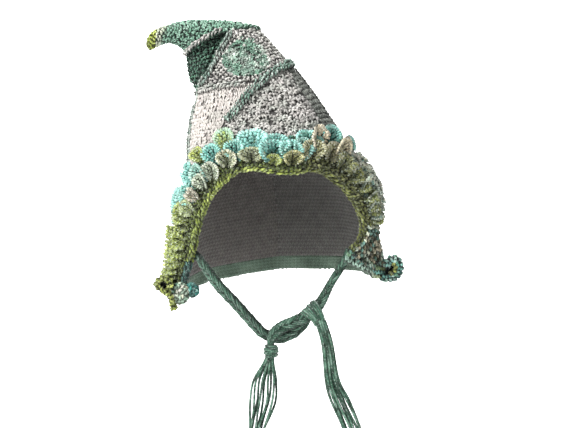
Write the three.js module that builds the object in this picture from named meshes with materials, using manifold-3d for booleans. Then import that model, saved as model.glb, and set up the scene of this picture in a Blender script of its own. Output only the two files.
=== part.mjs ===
// A crocheted pixie hood: patchwork panels with a turned-over peak, a border of overlapping scales round the
// face, a ruffled neck hem and two braided ties that meet in a knot with tassels.
// Millimetres, +Z up. The face opening looks along -Y, and the origin is the top of the wearer's head.
import * as THREE from 'three';
import { mergeVertices } from 'three/addons/utils/BufferGeometryUtils.js';
import { ConvexGeometry } from 'three/addons/geometries/ConvexGeometry.js';
import Module from 'manifold-3d';

const wasm = await Module();
wasm.setup();

// Driving dimensions
const WALL = 4.5;            // thickness of the crocheted cloth
const GAP = 0.45;            // clearance between pieces that are sewn to each other
const RING_GAP = 0.6;        // the same where panels of different shapes meet round the hood
const FULLNESS = 0.92;       // below 1 makes a section fuller than an ellipse
const SEAM_LIFT = 0.8;        // a seam's underside above the cloth
const SEAM_WIDTH = 7;        // joining seams between the panels
const SEAM_HEIGHT = 4;
const GREEN_SEAM_WIDTH = 10; // the thick green seam across the front
const GREEN_SEAM_HEIGHT = 6;
const STEEPEST = 0.4;        // limits the wall's inset where the cloth turns in steeply
const EDGING = 7;            // diameter of the corded edge round the face
const BAND = { near: 4, far: 47, lift: 3.1, thickness: 2.5 };   // backing of the scale border, from the face edge
const SCALE = { length: 35, width: 40, thickness: 4, cup: 3, sink: 1 };
const HEM_HEIGHT = 0.45;     // height of the ruffled hem, in sections
const HEM_WAVE = { depth: 5, turns: 15 };
const TIE = 13;              // diameter of a braided tie
const YARN = 4;              // diameter of one strand of a tassel

// Sections of the hood from the neck hem to the peak. Each lies in a plane through its left and right ends,
// as seen from the front, and reaches from frontY to backY, with its widest line at wideY.
const SECTIONS = [
  { leftX: -166, leftZ: -290, rightX: 160, rightZ: -262, frontY: -108, wideY: 15, backY: 125 },
  { leftX: -164, leftZ: -245, rightX: 156, rightZ: -218, frontY: -114, wideY: 12, backY: 120 },
  { leftX: -162, leftZ: -200, rightX: 150, rightZ: -178, frontY: -119, wideY: 8, backY: 120 },
  { leftX: -159, leftZ: -157, rightX: 141, rightZ: -141, frontY: -121, wideY: 6, backY: 124 },
  { leftX: -153, leftZ: -115, rightX: 126, rightZ: -105, frontY: -120, wideY: 8, backY: 127 },
  { leftX: -150, leftZ: -76, rightX: 108, rightZ: -68, frontY: -115, wideY: 12, backY: 126 },
  { leftX: -150, leftZ: -42, rightX: 91, rightZ: -28, frontY: -102, wideY: 16, backY: 120 },
  { leftX: -146, leftZ: -6, rightX: 69, rightZ: 9, frontY: -82, wideY: 20, backY: 110 },
  { leftX: -138, leftZ: 36, rightX: 40, rightZ: 50, frontY: -58, wideY: 24, backY: 98 },
  { leftX: -150, leftZ: 62, rightX: 15, rightZ: 83, frontY: -38, wideY: 27, backY: 86 },
  { leftX: -155, leftZ: 83, rightX: -11, rightZ: 113, frontY: -20, wideY: 30, backY: 76 },
  { leftX: -155, leftZ: 98, rightX: -37, rightZ: 141, frontY: -8, wideY: 31, backY: 68 },
  { leftX: -155, leftZ: 104, rightX: -66, rightZ: 153, frontY: 0, wideY: 31, backY: 61 },
  { leftX: -162, leftZ: 111, rightX: -97, rightZ: 156, frontY: 5, wideY: 30, backY: 55 },
  { leftX: -173, leftZ: 118, rightX: -128, rightZ: 157, frontY: 8, wideY: 29, backY: 49 },
  { leftX: -185, leftZ: 120, rightX: -157, rightZ: 155, frontY: 10, wideY: 27, backY: 43 },
  { leftX: -198, leftZ: 116, rightX: -186, rightZ: 148, frontY: 11, wideY: 25, backY: 38 },
  { leftX: -209, leftZ: 110, rightX: -208, rightZ: 138, frontY: 13, wideY: 23, backY: 33 },
  { leftX: -215, leftZ: 107, rightX: -218, rightZ: 127, frontY: 16, wideY: 22, backY: 28 },
];

// The face opening, in degrees of turn from the front and in section numbers
const OPENING = {
  top: 4.65,                              // section number at the top of the arch
  power: 3.4,                             // above 2 makes the arch flatter and its shoulders squarer
};
// Half angle of the opening on each side, before the arch rounds it off
const OPENING_SIDES = {
  left: [{ level: 0, half: 66 }, { level: 4.65, half: 49 }],
  right: [
    { level: 0.6, half: 33 }, { level: 0.95, half: 38 }, { level: 1.35, half: 52 }, { level: 1.8, half: 60 },
    { level: 2.4, half: 63 }, { level: 4.65, half: 62 },
  ],
};
const BRIM_WAVE = { depth: 0.1, period: 47, crest: 33, reach: 0.8 };

// Seam lines over the hood, as turn in degrees (0 front, 90 right, -90 left, 180 back) and section number
const FRONT_SEAM = [
  { level: 4.65, turn: 0 }, { level: 5.2, turn: -14 }, { level: 5.8, turn: -25 }, { level: 6.4, turn: -29 },
  { level: 6.85, turn: -19 }, { level: 7.3, turn: -9 }, { level: 7.65, turn: -2 }, { level: 8.05, turn: 9 },
];
const CREASE = [
  { level: 8, turn: -75 }, { level: 8.7, turn: -42 }, { level: 9.55, turn: -23 },
  { level: 10.45, turn: -7 }, { level: 11.1, turn: 8 }, { level: 11.65, turn: 27 },
];
const CROWN_RING = [
  { turn: -180, level: 8.6 }, { turn: -130, level: 8.2 }, { turn: -75, level: 8 }, { turn: 9, level: 8.05 },
  { turn: 20, level: 8.3 }, { turn: 38, level: 8.65 }, { turn: 69, level: 9 }, { turn: 90, level: 9.1 },
  { turn: 135, level: 8.95 }, { turn: 180, level: 8.6 },
];
const PEAK_RING = [
  { turn: -180, level: 11.5 }, { turn: -100, level: 12 }, { turn: 10, level: 12 }, { turn: 27, level: 11.7 },
  { turn: 49, level: 11.3 }, { turn: 82, level: 11 }, { turn: 130, level: 11.1 }, { turn: 180, level: 11.5 },
];
const HEM = [
  { turn: -180, level: 0.6 }, { turn: -130, level: 0.4 }, { turn: -90, level: 0 }, { turn: -60, level: 0 },
  { turn: 30, level: 1 }, { turn: 38, level: 0.9 }, { turn: 52, level: 0.5 }, { turn: 66, level: 0.15 },
  { turn: 86, level: 0 }, { turn: 110, level: 0.15 }, { turn: 135, level: 0.4 }, { turn: 180, level: 0.6 },
];
// The front corners turn outward.
const FLARES = [
  { turn: -70, spread: 22, reach: 11, top: 2 },
  { turn: 84, spread: 20, reach: 10, top: 2 },
];
const LEFT_SIDE = -98;       // turn of the seam down each side
const RIGHT_SIDE = 96;
const MOTIF_SIDE = 85;       // turn where the motif panel meets the back of the cone
const POCKET_BACK = -145;    // turn where the pocket panel meets the back panel of the cone
const TIP_LEVEL = 16.6;      // section where the green peak changes to its small tip

// Rows of the scale border: where a scale's root lies from the face edge, and how high its tip stands.
const SCALE_ROWS = [
  { count: 13, root: 5, tipLeft: 13, tipRight: 15, shift: 0.5 },
  { count: 14, root: 18, tipLeft: 12, tipRight: 19, shift: 0.25 },
  { count: 13, root: 31, tipLeft: 11, tipRight: 22, shift: 0.5 },
];
// Outline of one scale, as shares of its half width and its length
const SCALE_OUTLINE = [
  { side: 0, out: 0 }, { side: 1, out: 0.5 }, { side: 0.5, out: 0.98 },
  { side: -0.5, out: 0.98 }, { side: -1, out: 0.5 },
];

// Centre lines of the two ties, from inside the front corners to the knot
const TIE_LEFT = [
  { x: -143.3, y: -37.5, z: -222 }, { x: -133, y: -50, z: -222 }, { x: -120, y: -68, z: -237 },
  { x: -97, y: -86, z: -266 },
  { x: -69, y: -92, z: -295 }, { x: -45, y: -92, z: -322 }, { x: -27, y: -90, z: -340 },
  { x: -6, y: -90, z: -347 }, { x: 16, y: -90, z: -340 }, { x: 30, y: -90, z: -328 },
  { x: 40.5, y: -89.1, z: -315.5 },
];
const TIE_RIGHT = [
  { x: 104, y: -64, z: -214 }, { x: 96, y: -70, z: -232 }, { x: 75, y: -88, z: -263 },
  { x: 58, y: -104, z: -292 }, { x: 40, y: -108, z: -309 }, { x: 19, y: -109, z: -318 },
  { x: -1, y: -109, z: -328 }, { x: -14, y: -108, z: -340 }, { x: -19, y: -107, z: -352 },
];
// The wrapped knot at the end of the right tie, under the crossing
const KNOT_LEFT = { x: -16, y: -107, z: -365, radius: 11, height: 19 };
// The loose end of the left tie, folded over the right tie: its middle line, and the direction of its width
const FOLD = { thickness: 5, width: 15, across: { x: -0.717, y: -0.159, z: -0.677 } };
const FOLD_LINE = [
  { x: 48, y: -88, z: -311 }, { x: 42.6, y: -88.5, z: -305.2 }, { x: 38.5, y: -94.9, z: -299.4 },
  { x: 37.9, y: -104.8, z: -296.4 }, { x: 41.1, y: -114.2, z: -297.6 }, { x: 47.7, y: -117.7, z: -303.8 },
  { x: 52, y: -119.5, z: -312 },
];
// Tassels: rows from the head to the ends of the strands, with half the bunch's width and depth at each
const TASSEL_LEFT = {
  head: { x: -17, y: -107, z: -381.8 }, radius: 8, strands: 8,
  rows: [
    { x: -17, y: -107, z: -383, across: 4, deep: 3.5 }, { x: -25, y: -108, z: -409, across: 16, deep: 7 },
    { x: -29, y: -108, z: -440, across: 18, deep: 8 }, { x: -41, y: -108, z: -500, across: 10, deep: 7 },
  ],
};
const TASSEL_RIGHT = {
  head: { x: 57, y: -119.8, z: -318 }, radius: 8, strands: 9,
  rows: [
    { x: 57, y: -120, z: -318, across: 4, deep: 3.5 }, { x: 68, y: -121, z: -353, across: 8, deep: 5 },
    { x: 78, y: -120, z: -408, across: 10, deep: 6 }, { x: 112, y: -117, z: -500, across: 16, deep: 8 },
  ],
};

// Rolled corners of the hem: a strip of cloth that curls round
const ROLL = { thickness: 8, width: 22, across: { x: 0, y: 1, z: 0 } };
const CURL_LEFT = [
  { x: -166, y: -63, z: -305 }, { x: -169, y: -64, z: -292 }, { x: -178, y: -65, z: -281 },
  { x: -189, y: -66, z: -272 }, { x: -187, y: -67, z: -263 }, { x: -178, y: -67, z: -261 },
  { x: -171, y: -66, z: -267 },
];
const CURL_RIGHT = [
  { x: 157, y: -24, z: -257 }, { x: 170, y: -28, z: -259 }, { x: 180, y: -32, z: -254 },
  { x: 184, y: -34, z: -242 }, { x: 180, y: -35, z: -232 }, { x: 172, y: -35, z: -230 },
];
// Two rounded scales that curl up at the left corner
const CORNER_SCALES = [
  { x: -156.8, y: -60.9, z: -280.8, rx: 14, ry: 9, rz: 17 },
  { x: -139, y: -58, z: -276, rx: 11, ry: 7, rz: 11 },
];

// The pocket folded in under the turned-over peak
const POCKET = { depth: 0.5, fadeTurn: -92, sideRamp: 9, lowerRamp: 0.9, upperRamp: 0.35 };

const smooth = THREE.MathUtils.smoothstep;
const radians = THREE.MathUtils.degToRad;

// Straight interpolation in a table of rows: the value of one column where another has the given value.
function lookUp(rows, from, value, to) {
  let i = 1;
  while (i < rows.length - 1 && rows[i][from] < value) i += 1;
  const share = (value - rows[i - 1][from]) / (rows[i][from] - rows[i - 1][from]);
  return THREE.MathUtils.lerp(rows[i - 1][to], rows[i][to], THREE.MathUtils.clamp(share, 0, 1));
}

const between = (a, b, count, place) => Array.from({ length: count + 1 }, (_, i) => place(a + ((b - a) * i) / count));
const wrapped = (turn) => THREE.MathUtils.euclideanModulo(turn + 180, 360) - 180;
const creaseTurn = (level) => lookUp(CREASE, 'level', level, 'turn');
const crownRing = (turn) => lookUp(CROWN_RING, 'turn', wrapped(turn), 'level');
const peakRing = (turn) => lookUp(PEAK_RING, 'turn', wrapped(turn), 'level');
const hemLevel = (turn) => lookUp(HEM, 'turn', wrapped(turn), 'level');
const hemTop = (turn) => hemLevel(turn) + HEM_HEIGHT;

// One row of SECTIONS at any section number, on a smooth curve through the rows.
function sectionAt(level) {
  const last = SECTIONS.length - 1;
  const at = THREE.MathUtils.clamp(level, -0.5, last - 1e-6);
  const i = Math.max(Math.floor(at), 0);
  const f = at - i;
  const rows = [i - 1, i, i + 1, i + 2].map((k) => SECTIONS[THREE.MathUtils.clamp(k, 0, last)]);
  const section = {};
  for (const key of Object.keys(SECTIONS[0])) {
    const [a, b, c, d] = rows.map((row) => row[key]);
    section[key] = 0.5 * (2 * b + (c - a) * f + (2 * a - 5 * b + 4 * c - d) * f * f
      + (3 * b - a - 3 * c + d) * f * f * f);
  }
  return section;
}

// How far the cloth is folded in at a place, as a share of the section's half depth.
function pocketShare(turn, level) {
  const side = wrapped(turn);
  const crease = creaseTurn(level);
  if (side > crease || side < POCKET.fadeTurn || level < CREASE[0].level) return 0;
  const ramp = smooth(crease - side, 0, POCKET.sideRamp)
    * smooth(level - crownRing(side), 0, POCKET.lowerRamp)
    * smooth(peakRing(side) - level, 0, POCKET.upperRamp);
  return POCKET.depth * ramp * Math.sqrt((side - POCKET.fadeTurn) / (crease - POCKET.fadeTurn));
}

function brimWave(turn, level) {
  const away = (level - OPENING.top) / BRIM_WAVE.reach;
  const side = wrapped(turn);
  const front = 1 - smooth(Math.abs(side), 45, 65);
  return BRIM_WAVE.depth * front * Math.exp(-away * away)
    * Math.cos((2 * Math.PI * (side - BRIM_WAVE.crest)) / BRIM_WAVE.period);
}

// How far the front corners flare out and the hem waves.
function hemSwell(turn, level) {
  const side = wrapped(turn);
  const above = level - hemLevel(side);
  const wave = HEM_WAVE.depth * Math.sin(radians(side * HEM_WAVE.turns)) * (1 - smooth(above, 0, HEM_HEIGHT));
  const flares = FLARES.map((flare) => {
    const off = (side - flare.turn) / flare.spread;
    return flare.reach * Math.exp(-off * off) * (1 - smooth(level, 0, flare.top));
  });
  return flares.reduce((sum, flare) => sum + flare, wave);
}

// A point of the hood's outer face, or of a face that lies inset towards the middle of its section.
function hoodPoint(turn, level, inset = 0) {
  const s = sectionAt(level + brimWave(turn, level));
  const middle = new THREE.Vector3((s.leftX + s.rightX) / 2, s.wideY, (s.leftZ + s.rightZ) / 2);
  const full = (value) => Math.sign(value) * Math.abs(value) ** FULLNESS;
  const across = full(Math.sin(radians(turn)));
  const ahead = full(Math.cos(radians(turn)));
  const away = new THREE.Vector3(
    ((s.rightX - s.leftX) / 2) * across,
    ahead > 0 ? (s.frontY - s.wideY) * ahead : (s.wideY - s.backY) * ahead,
    ((s.rightZ - s.leftZ) / 2) * across,
  );
  const depth = pocketShare(turn, level) * (s.wideY - s.frontY) - hemSwell(turn, level);
  return middle.addScaledVector(away, 1 - (inset + depth) / away.length());
}

// The hood's face at a place: its point, its directions along turn and level, its outward normal, and how
// squarely that normal looks away from the middle of the section.
function hoodFrame(turn, level) {
  const step = { turn: 0.5, level: 0.02 };
  const point = hoodPoint(turn, level);
  const alongTurn = hoodPoint(turn + step.turn, level).sub(hoodPoint(turn - step.turn, level))
    .divideScalar(2 * step.turn);
  const alongLevel = hoodPoint(turn, level + step.level).sub(hoodPoint(turn, level - step.level))
    .divideScalar(2 * step.level);
  const normal = alongTurn.clone().cross(alongLevel).normalize();
  const outward = point.clone().sub(hoodPoint(turn, level, 1)).normalize();
  return { point, alongTurn, alongLevel, normal, slope: Math.max(normal.dot(outward), STEEPEST) };
}

// Half angle of the face opening at a level, 0 above the arch.
function openingAngle(level, side) {
  const height = THREE.MathUtils.clamp(level / OPENING.top, 0, 1);
  const half = lookUp(OPENING_SIDES[side], 'level', level, 'half');
  return half * (1 - height ** OPENING.power) ** (1 / OPENING.power);
}

// Turn of the front border of the left or right panels: the face edge, and the seam above it.
function frontBorder(level, side) {
  if (level > OPENING.top) return lookUp(FRONT_SEAM, 'level', level, 'turn');
  return side === 'left' ? -openingAngle(level, side) : openingAngle(level, side);
}

function meshOf(vertices, faces) {
  const geometry = new THREE.BufferGeometry();
  geometry.setAttribute('position', new THREE.Float32BufferAttribute(vertices.flatMap((v) => v.toArray()), 3));
  geometry.setIndex(faces.flat());
  return mergeVertices(geometry, 1e-4);
}

// A closed solid from rings of points that follow each other, each ring counter-clockwise seen from the last.
function loft(rings) {
  const n = rings[0].length;
  const faces = [];
  for (let r = 0; r < rings.length - 1; r += 1) {
    for (let i = 0; i < n; i += 1) {
      const j = (i + 1) % n;
      const [a, b, c, d] = [r * n + i, r * n + j, (r + 1) * n + j, (r + 1) * n + i];
      faces.push([a, b, c], [a, c, d]);
    }
  }
  const end = (rings.length - 1) * n;
  for (let i = 1; i < n - 1; i += 1) faces.push([0, i + 1, i], [end, end + i, end + i + 1]);
  return meshOf(rings.flat(), faces);
}

// A cloth panel between two turns and two levels. Rows and columns are shares of the way across it.
function panel({ fromTurn, toTurn, fromLevel, toLevel, columns, rows, across }) {
  const acrossShares = across ?? between(0, 1, columns, (share) => share);
  const last = acrossShares.length - 1;
  const place = (share, up) => {
    let turn = 0;
    let level = fromLevel(0) + (toLevel(0) - fromLevel(0)) * up;
    for (let pass = 0; pass < 6; pass += 1) {
      turn = THREE.MathUtils.lerp(fromTurn(level), toTurn(level), share);
      level = rows.bend
        ? rows.bend(fromLevel(turn), toLevel(turn), up)
        : THREE.MathUtils.lerp(fromLevel(turn), toLevel(turn), up);
    }
    return { turn, level };
  };
  const shares = rows.shares;
  const faceOf = (wall) => shares.flatMap((up) => {
    return acrossShares.map((share, i) => {
      const { turn, level } = place(share, up);
      const frame = hoodFrame(turn, level);
      const sideways = (i === 0 ? GAP : i === last ? -GAP : 0) / frame.alongTurn.length();
      const upwards = (up === 0 ? RING_GAP : up === 1 ? -RING_GAP : 0) / frame.alongLevel.length();
      return hoodPoint(turn + sideways, level + upwards, wall / frame.slope);
    });
  });
  const outer = faceOf(0);
  const inner = faceOf(WALL);
  const width = last + 1;
  const height = shares.length;
  const at = (row, column) => row * width + column;
  const faces = [];
  for (let r = 0; r < height - 1; r += 1) {
    for (let c = 0; c < last; c += 1) {
      const [a, b, d, e] = [at(r, c), at(r, c + 1), at(r + 1, c + 1), at(r + 1, c)];
      faces.push([a, b, d], [a, d, e]);
      const k = outer.length;
      faces.push([k + a, k + d, k + b], [k + a, k + e, k + d]);
    }
  }
  const border = [
    ...Array.from({ length: last }, (_, c) => at(0, c)),
    ...Array.from({ length: height - 1 }, (_, r) => at(r, last)),
    ...Array.from({ length: last }, (_, c) => at(height - 1, last - c)),
    ...Array.from({ length: height - 1 }, (_, r) => at(height - 1 - r, 0)),
  ];
  border.forEach((a, i) => {
    const b = border[(i + 1) % border.length];
    faces.push([a, outer.length + a, outer.length + b], [a, outer.length + b, b]);
  });
  return meshOf([...outer, ...inner], faces);
}

// Rows of the panels beside the face: close together where the arch turns over.
const ARCH_SHARES = [0, 0.1, 0.2, 0.31, 0.43, 0.56, 0.68, 0.79, 0.88, 0.94, 0.975, 0.992, 0.998, 1];
const ABOVE_SHARES = [0.2, 0.4, 0.6, 0.8, 1];
const faceRows = {
  shares: [...ARCH_SHARES.map((a) => a / 2), ...ABOVE_SHARES.map((a) => 0.5 + a / 2)],
  bend: (low, high, up) => (up <= 0.5
    ? THREE.MathUtils.lerp(low, OPENING.top, up * 2)
    : THREE.MathUtils.lerp(OPENING.top, high, up * 2 - 1)),
};
const evenRows = (count) => ({ shares: Array.from({ length: count + 1 }, (_, i) => i / count) });

function hoodPanels() {
  const fixed = (turn) => () => turn;
  const level = (value) => () => value;
  // The peak's columns stand above those of the panels below it.
  const peakColumns = [
    ...between(POCKET_BACK, creaseTurn(12), 12, (turn) => turn),
    ...between(creaseTurn(12), MOTIF_SIDE, 8, (turn) => turn).slice(1),
    ...between(MOTIF_SIDE, POCKET_BACK + 360, 8, (turn) => turn).slice(1),
  ].map((turn) => (turn - POCKET_BACK) / 360);
  return {
    front_left_panel: panel({
      fromTurn: fixed(LEFT_SIDE), toTurn: (l) => frontBorder(l, 'left'),
      fromLevel: hemTop, toLevel: crownRing, columns: 6, rows: faceRows,
    }),
    front_right_panel: panel({
      fromTurn: (l) => frontBorder(l, 'right'), toTurn: fixed(RIGHT_SIDE),
      fromLevel: hemTop, toLevel: crownRing, columns: 8, rows: faceRows,
    }),
    back_left_panel: panel({
      fromTurn: fixed(-180), toTurn: fixed(LEFT_SIDE),
      fromLevel: hemTop, toLevel: crownRing, columns: 6, rows: faceRows,
    }),
    back_right_panel: panel({
      fromTurn: fixed(RIGHT_SIDE), toTurn: fixed(180),
      fromLevel: hemTop, toLevel: crownRing, columns: 6, rows: faceRows,
    }),
    motif_panel: panel({
      fromTurn: creaseTurn, toTurn: fixed(MOTIF_SIDE),
      fromLevel: crownRing, toLevel: peakRing, columns: 8, rows: evenRows(10),
    }),
    pocket_panel: panel({
      fromTurn: fixed(POCKET_BACK), toTurn: creaseTurn,
      fromLevel: crownRing, toLevel: peakRing, columns: 12, rows: evenRows(10),
    }),
    cone_back_panel: panel({
      fromTurn: fixed(MOTIF_SIDE), toTurn: fixed(POCKET_BACK + 360),
      fromLevel: crownRing, toLevel: peakRing, columns: 8, rows: evenRows(10),
    }),
    peak_panel: panel({
      fromTurn: fixed(POCKET_BACK), toTurn: fixed(POCKET_BACK + 360),
      fromLevel: peakRing, toLevel: level(TIP_LEVEL), across: peakColumns, rows: evenRows(6),
    }),
  };
}

function hemRuffle() {
  return panel({
    fromTurn: (l) => openingAngle(l, 'right'), toTurn: (l) => 360 - openingAngle(l, 'left'),
    fromLevel: hemLevel, toLevel: hemTop, columns: 56, rows: evenRows(2),
  });
}

// The small tip is too narrow to be hollow.
function peakTip() {
  const sides = 10;
  const last = SECTIONS.length - 1;
  const levels = [TIP_LEVEL + 0.03, 17.2, 17.7, last];
  const rings = levels.map((l) => Array.from({ length: sides }, (_, i) => hoodPoint((i * 360) / sides, l)));
  const end = rings[rings.length - 1];
  const middle = end.reduce((sum, p) => sum.add(p), new THREE.Vector3()).divideScalar(sides);
  const along = middle.clone().sub(hoodPoint(0, last - 1).add(hoodPoint(180, last - 1)).multiplyScalar(0.5));
  rings.push(end.map((p) => middle.clone().lerp(p, 0.5).addScaledVector(along, 0.35)));
  return loft(rings);
}

// A raised seam that lies on the hood along places given as turn and level.
function seamRidge(places, width, height, lift = SEAM_LIFT) {
  const points = places.map(({ turn, level }) => hoodFrame(turn, level));
  const half = width / 2;
  const profile = [
    [-half, 0], [-half * 0.8, height * 0.7], [0, height], [half * 0.8, height * 0.7], [half, 0],
  ];
  const rings = points.map(({ point, normal }, i) => {
    const before = points[Math.max(i - 1, 0)].point;
    const after = points[Math.min(i + 1, points.length - 1)].point;
    const along = after.clone().sub(before).normalize();
    const side = along.clone().cross(normal).normalize();
    const base = point.clone().addScaledVector(normal, lift);
    return profile.map(([a, b]) => base.clone().addScaledVector(side, a).addScaledVector(normal, b)).reverse();
  });
  return loft(rings.map((ring) => ring.reverse()));
}

function seams() {
  const front = (level) => ({ turn: lookUp(FRONT_SEAM, 'level', level, 'turn'), level });
  const crease = (level) => ({ turn: creaseTurn(level) + 4, level });
  const onCrown = (turn) => ({ turn, level: crownRing(turn) });
  const onPeak = (turn) => ({ turn, level: peakRing(turn) + 0.05 });
  const atTurn = (turn) => (level) => ({ turn, level });
  return {
    green_seam: seamRidge(
      [...between(6.62, 7.9, 6, front), ...between(14, 96, 9, onCrown)], GREEN_SEAM_WIDTH, GREEN_SEAM_HEIGHT),
    crown_seam_front: seamRidge(between(-66, -2, 6, onCrown), SEAM_WIDTH, SEAM_HEIGHT),
    crown_seam_back: seamRidge(between(104, 274, 18, onCrown), SEAM_WIDTH, SEAM_HEIGHT, 1.2),
    crease_seam: seamRidge(between(8.25, 11.4, 9, crease), SEAM_WIDTH, SEAM_HEIGHT),
    peak_seam_front: seamRidge(between(-96, 18, 12, onPeak), SEAM_WIDTH, SEAM_HEIGHT, 1.1),
    peak_seam_back: seamRidge(between(36, 256, 20, onPeak), SEAM_WIDTH, SEAM_HEIGHT, 1.7),
    left_side_seam: seamRidge(between(0.6, 7.6, 14, atTurn(LEFT_SIDE)), SEAM_WIDTH, SEAM_HEIGHT, 1.1),
    right_side_seam: seamRidge(between(0.7, 8.85, 12, atTurn(RIGHT_SIDE)), SEAM_WIDTH, SEAM_HEIGHT),
    back_seam: seamRidge(between(1.15, 8.4, 12, atTurn(180)), SEAM_WIDTH, SEAM_HEIGHT),
  };
}

// Place on the face edge for an angle that runs from 0 at the left hem over the arch to 180 at the right hem.
function edgePlace(angle) {
  const side = angle < 90 ? 'left' : 'right';
  const level = OPENING.top * Math.sin(radians(angle)) ** (2 / OPENING.power);
  return { turn: openingAngle(level, side) * (angle < 90 ? -1 : 1), level };
}

// The face edge measured along its length, from above the hem on the left to above the hem on the right.
const edge = (() => {
  const samples = between(0, 180, 1800, edgePlace)
    .filter(({ turn, level }) => level > hemLevel(turn) + 0.12)
    .map((place) => ({ ...place, at: 0 }));
  for (let i = 1; i < samples.length; i += 1) {
    const [a, b] = [samples[i - 1], samples[i]];
    b.at = a.at + hoodPoint(a.turn, a.level).distanceTo(hoodPoint(b.turn, b.level));
  }
  return { samples, length: samples[samples.length - 1].at };
})();

function edgeAt(distance) {
  const at = THREE.MathUtils.clamp(distance, 0, edge.length);
  return { turn: lookUp(edge.samples, 'at', at, 'turn'), level: lookUp(edge.samples, 'at', at, 'level') };
}

// The hood's face at a distance along the face edge and a width away from it, measured over the cloth.
function bandFrame(distance, width) {
  let { turn, level } = edgeAt(distance);
  const [before, after] = [edgeAt(distance - 3), edgeAt(distance + 3)];
  const along = hoodPoint(after.turn, after.level).sub(hoodPoint(before.turn, before.level)).normalize();
  let frame = hoodFrame(turn, level);
  const away = frame.normal.clone().cross(along).normalize();
  const steps = Math.max(1, Math.ceil(Math.abs(width) / 6));
  for (let i = 0; i < steps; i += 1) {
    away.addScaledVector(frame.normal, -away.dot(frame.normal)).normalize();
    const [a, b] = [frame.alongTurn, frame.alongLevel];
    const scale = (width / steps) / (a.dot(a) * b.dot(b) - a.dot(b) ** 2);
    turn += scale * (a.dot(away) * b.dot(b) - b.dot(away) * a.dot(b));
    level += scale * (b.dot(away) * a.dot(a) - a.dot(away) * a.dot(b));
    frame = hoodFrame(turn, level);
  }
  away.addScaledVector(frame.normal, -away.dot(frame.normal)).normalize();
  return { ...frame, away, along: away.clone().cross(frame.normal).normalize() };
}

// Backing strip of the scale border.
function borderBand() {
  const steps = 34;
  const widths = between(BAND.near, BAND.far, 3, (w) => w);
  const rings = between(30, edge.length - 8, steps, (distance) => {
    const low = [];
    const high = [];
    for (const width of widths) {
      const { point, normal } = bandFrame(distance, width);
      low.push(point.clone().addScaledVector(normal, BAND.lift));
      high.push(point.clone().addScaledVector(normal, BAND.lift + BAND.thickness));
    }
    return [...low, ...high.reverse()];
  });
  return loft(rings);
}

// One rounded, cupped scale that stands off the cloth towards its tip.
function scaleAt(distance, root, tip, size) {
  const spanAt = (width) => bandFrame(distance - 5, width).point.distanceTo(bandFrame(distance + 5, width).point);
  const stretch = spanAt(root + SCALE.length / 2) / 10;
  const foot = BAND.lift + BAND.thickness - SCALE.sink;
  const place = (side, out, height) => {
    const sideways = (side * (SCALE.width / 2) * size) / stretch;
    const { point, normal } = bandFrame(distance + sideways, root + out * SCALE.length * size);
    return point.clone().addScaledVector(normal, foot + out * (tip - foot) + height);
  };
  const low = SCALE_OUTLINE.map(({ side, out }) => place(side, out, 0));
  const high = SCALE_OUTLINE.map(({ side, out }) => place(side, out, SCALE.thickness));
  const n = low.length;
  const faces = [];
  for (let i = 0; i < n; i += 1) {
    const j = (i + 1) % n;
    faces.push([i, j, n + j], [i, n + j, n + i], [2 * n, j, i], [2 * n + 1, n + i, n + j]);
  }
  const middle = [place(0, 0.55, SCALE.cup), place(0, 0.55, SCALE.thickness + SCALE.cup)];
  return meshOf([...low, ...high, ...middle], faces);
}

function toManifold(geometry) {
  const plain = geometry.clone();
  plain.deleteAttribute('normal');
  plain.deleteAttribute('uv');
  const merged = mergeVertices(plain, 1e-4);
  return new wasm.Manifold(new wasm.Mesh({
    numProp: 3,
    vertProperties: new Float32Array(merged.attributes.position.array),
    triVerts: new Uint32Array(merged.index.array),
  }));
}

// Several closed solids that touch, joined into one.
function joined(geometries) {
  const whole = geometries.map(toManifold).reduce((sum, part) => sum.add(part));
  const mesh = whole.getMesh();
  const geometry = new THREE.BufferGeometry();
  geometry.setAttribute('position', new THREE.BufferAttribute(new Float32Array(mesh.vertProperties), 3));
  geometry.setIndex(Array.from(mesh.triVerts));
  return geometry;
}

function scaleBorder() {
  const scales = SCALE_ROWS.flatMap((row) => between(0, row.count - 1, row.count - 1, (i) => {
    const share = (i + row.shift) / (row.count - 0.5 + row.shift / 2);
    const lift = THREE.MathUtils.lerp(row.tipLeft, row.tipRight, smooth(share, 0.35, 0.75));
    const size = 0.78 + 0.22 * smooth(share, 0.05, 0.3);
    return scaleAt(THREE.MathUtils.lerp(20, edge.length - 20, share), row.root, lift, size);
  }));
  return joined([borderBand(), ...scales]);
}

// The corded edge stands just inside the cloth's edge.
function faceEdging() {
  const points = between(19, edge.length - 10, 44, (distance) => {
    const { point, normal, away } = bandFrame(distance, 0);
    return point.clone().addScaledVector(away, -(EDGING / 2 + 2)).addScaledVector(normal, -WALL / 2);
  });
  return tube(points, EDGING, 6, 42);
}

function tube(points, diameter, sides, steps) {
  const shape = new THREE.Shape(between(0, sides - 1, sides - 1, (i) => new THREE.Vector2(
    (Math.cos((2 * Math.PI * i) / sides) * diameter) / 2, (Math.sin((2 * Math.PI * i) / sides) * diameter) / 2)));
  return new THREE.ExtrudeGeometry(shape, {
    steps, extrudePath: new THREE.CatmullRomCurve3(points, false, 'centripetal'), bevelEnabled: false,
  });
}

const vector = ({ x, y, z }) => new THREE.Vector3(x, y, z);

// A flat strip that bends round an axis.
function strip(rows, { thickness, width, across }) {
  const curve = new THREE.CatmullRomCurve3(rows.map(vector));
  const sideways = vector(across);
  const rings = between(0, 1, 12, (share) => {
    const point = curve.getPoint(share);
    const out = curve.getTangent(share).cross(sideways).normalize();
    return [[-1, -1], [-1, 1], [1, 1], [1, -1]].map(([a, b]) => point.clone()
      .addScaledVector(out, (a * thickness) / 2).addScaledVector(sideways, (b * width) / 2));
  });
  return loft(rings);
}

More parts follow.
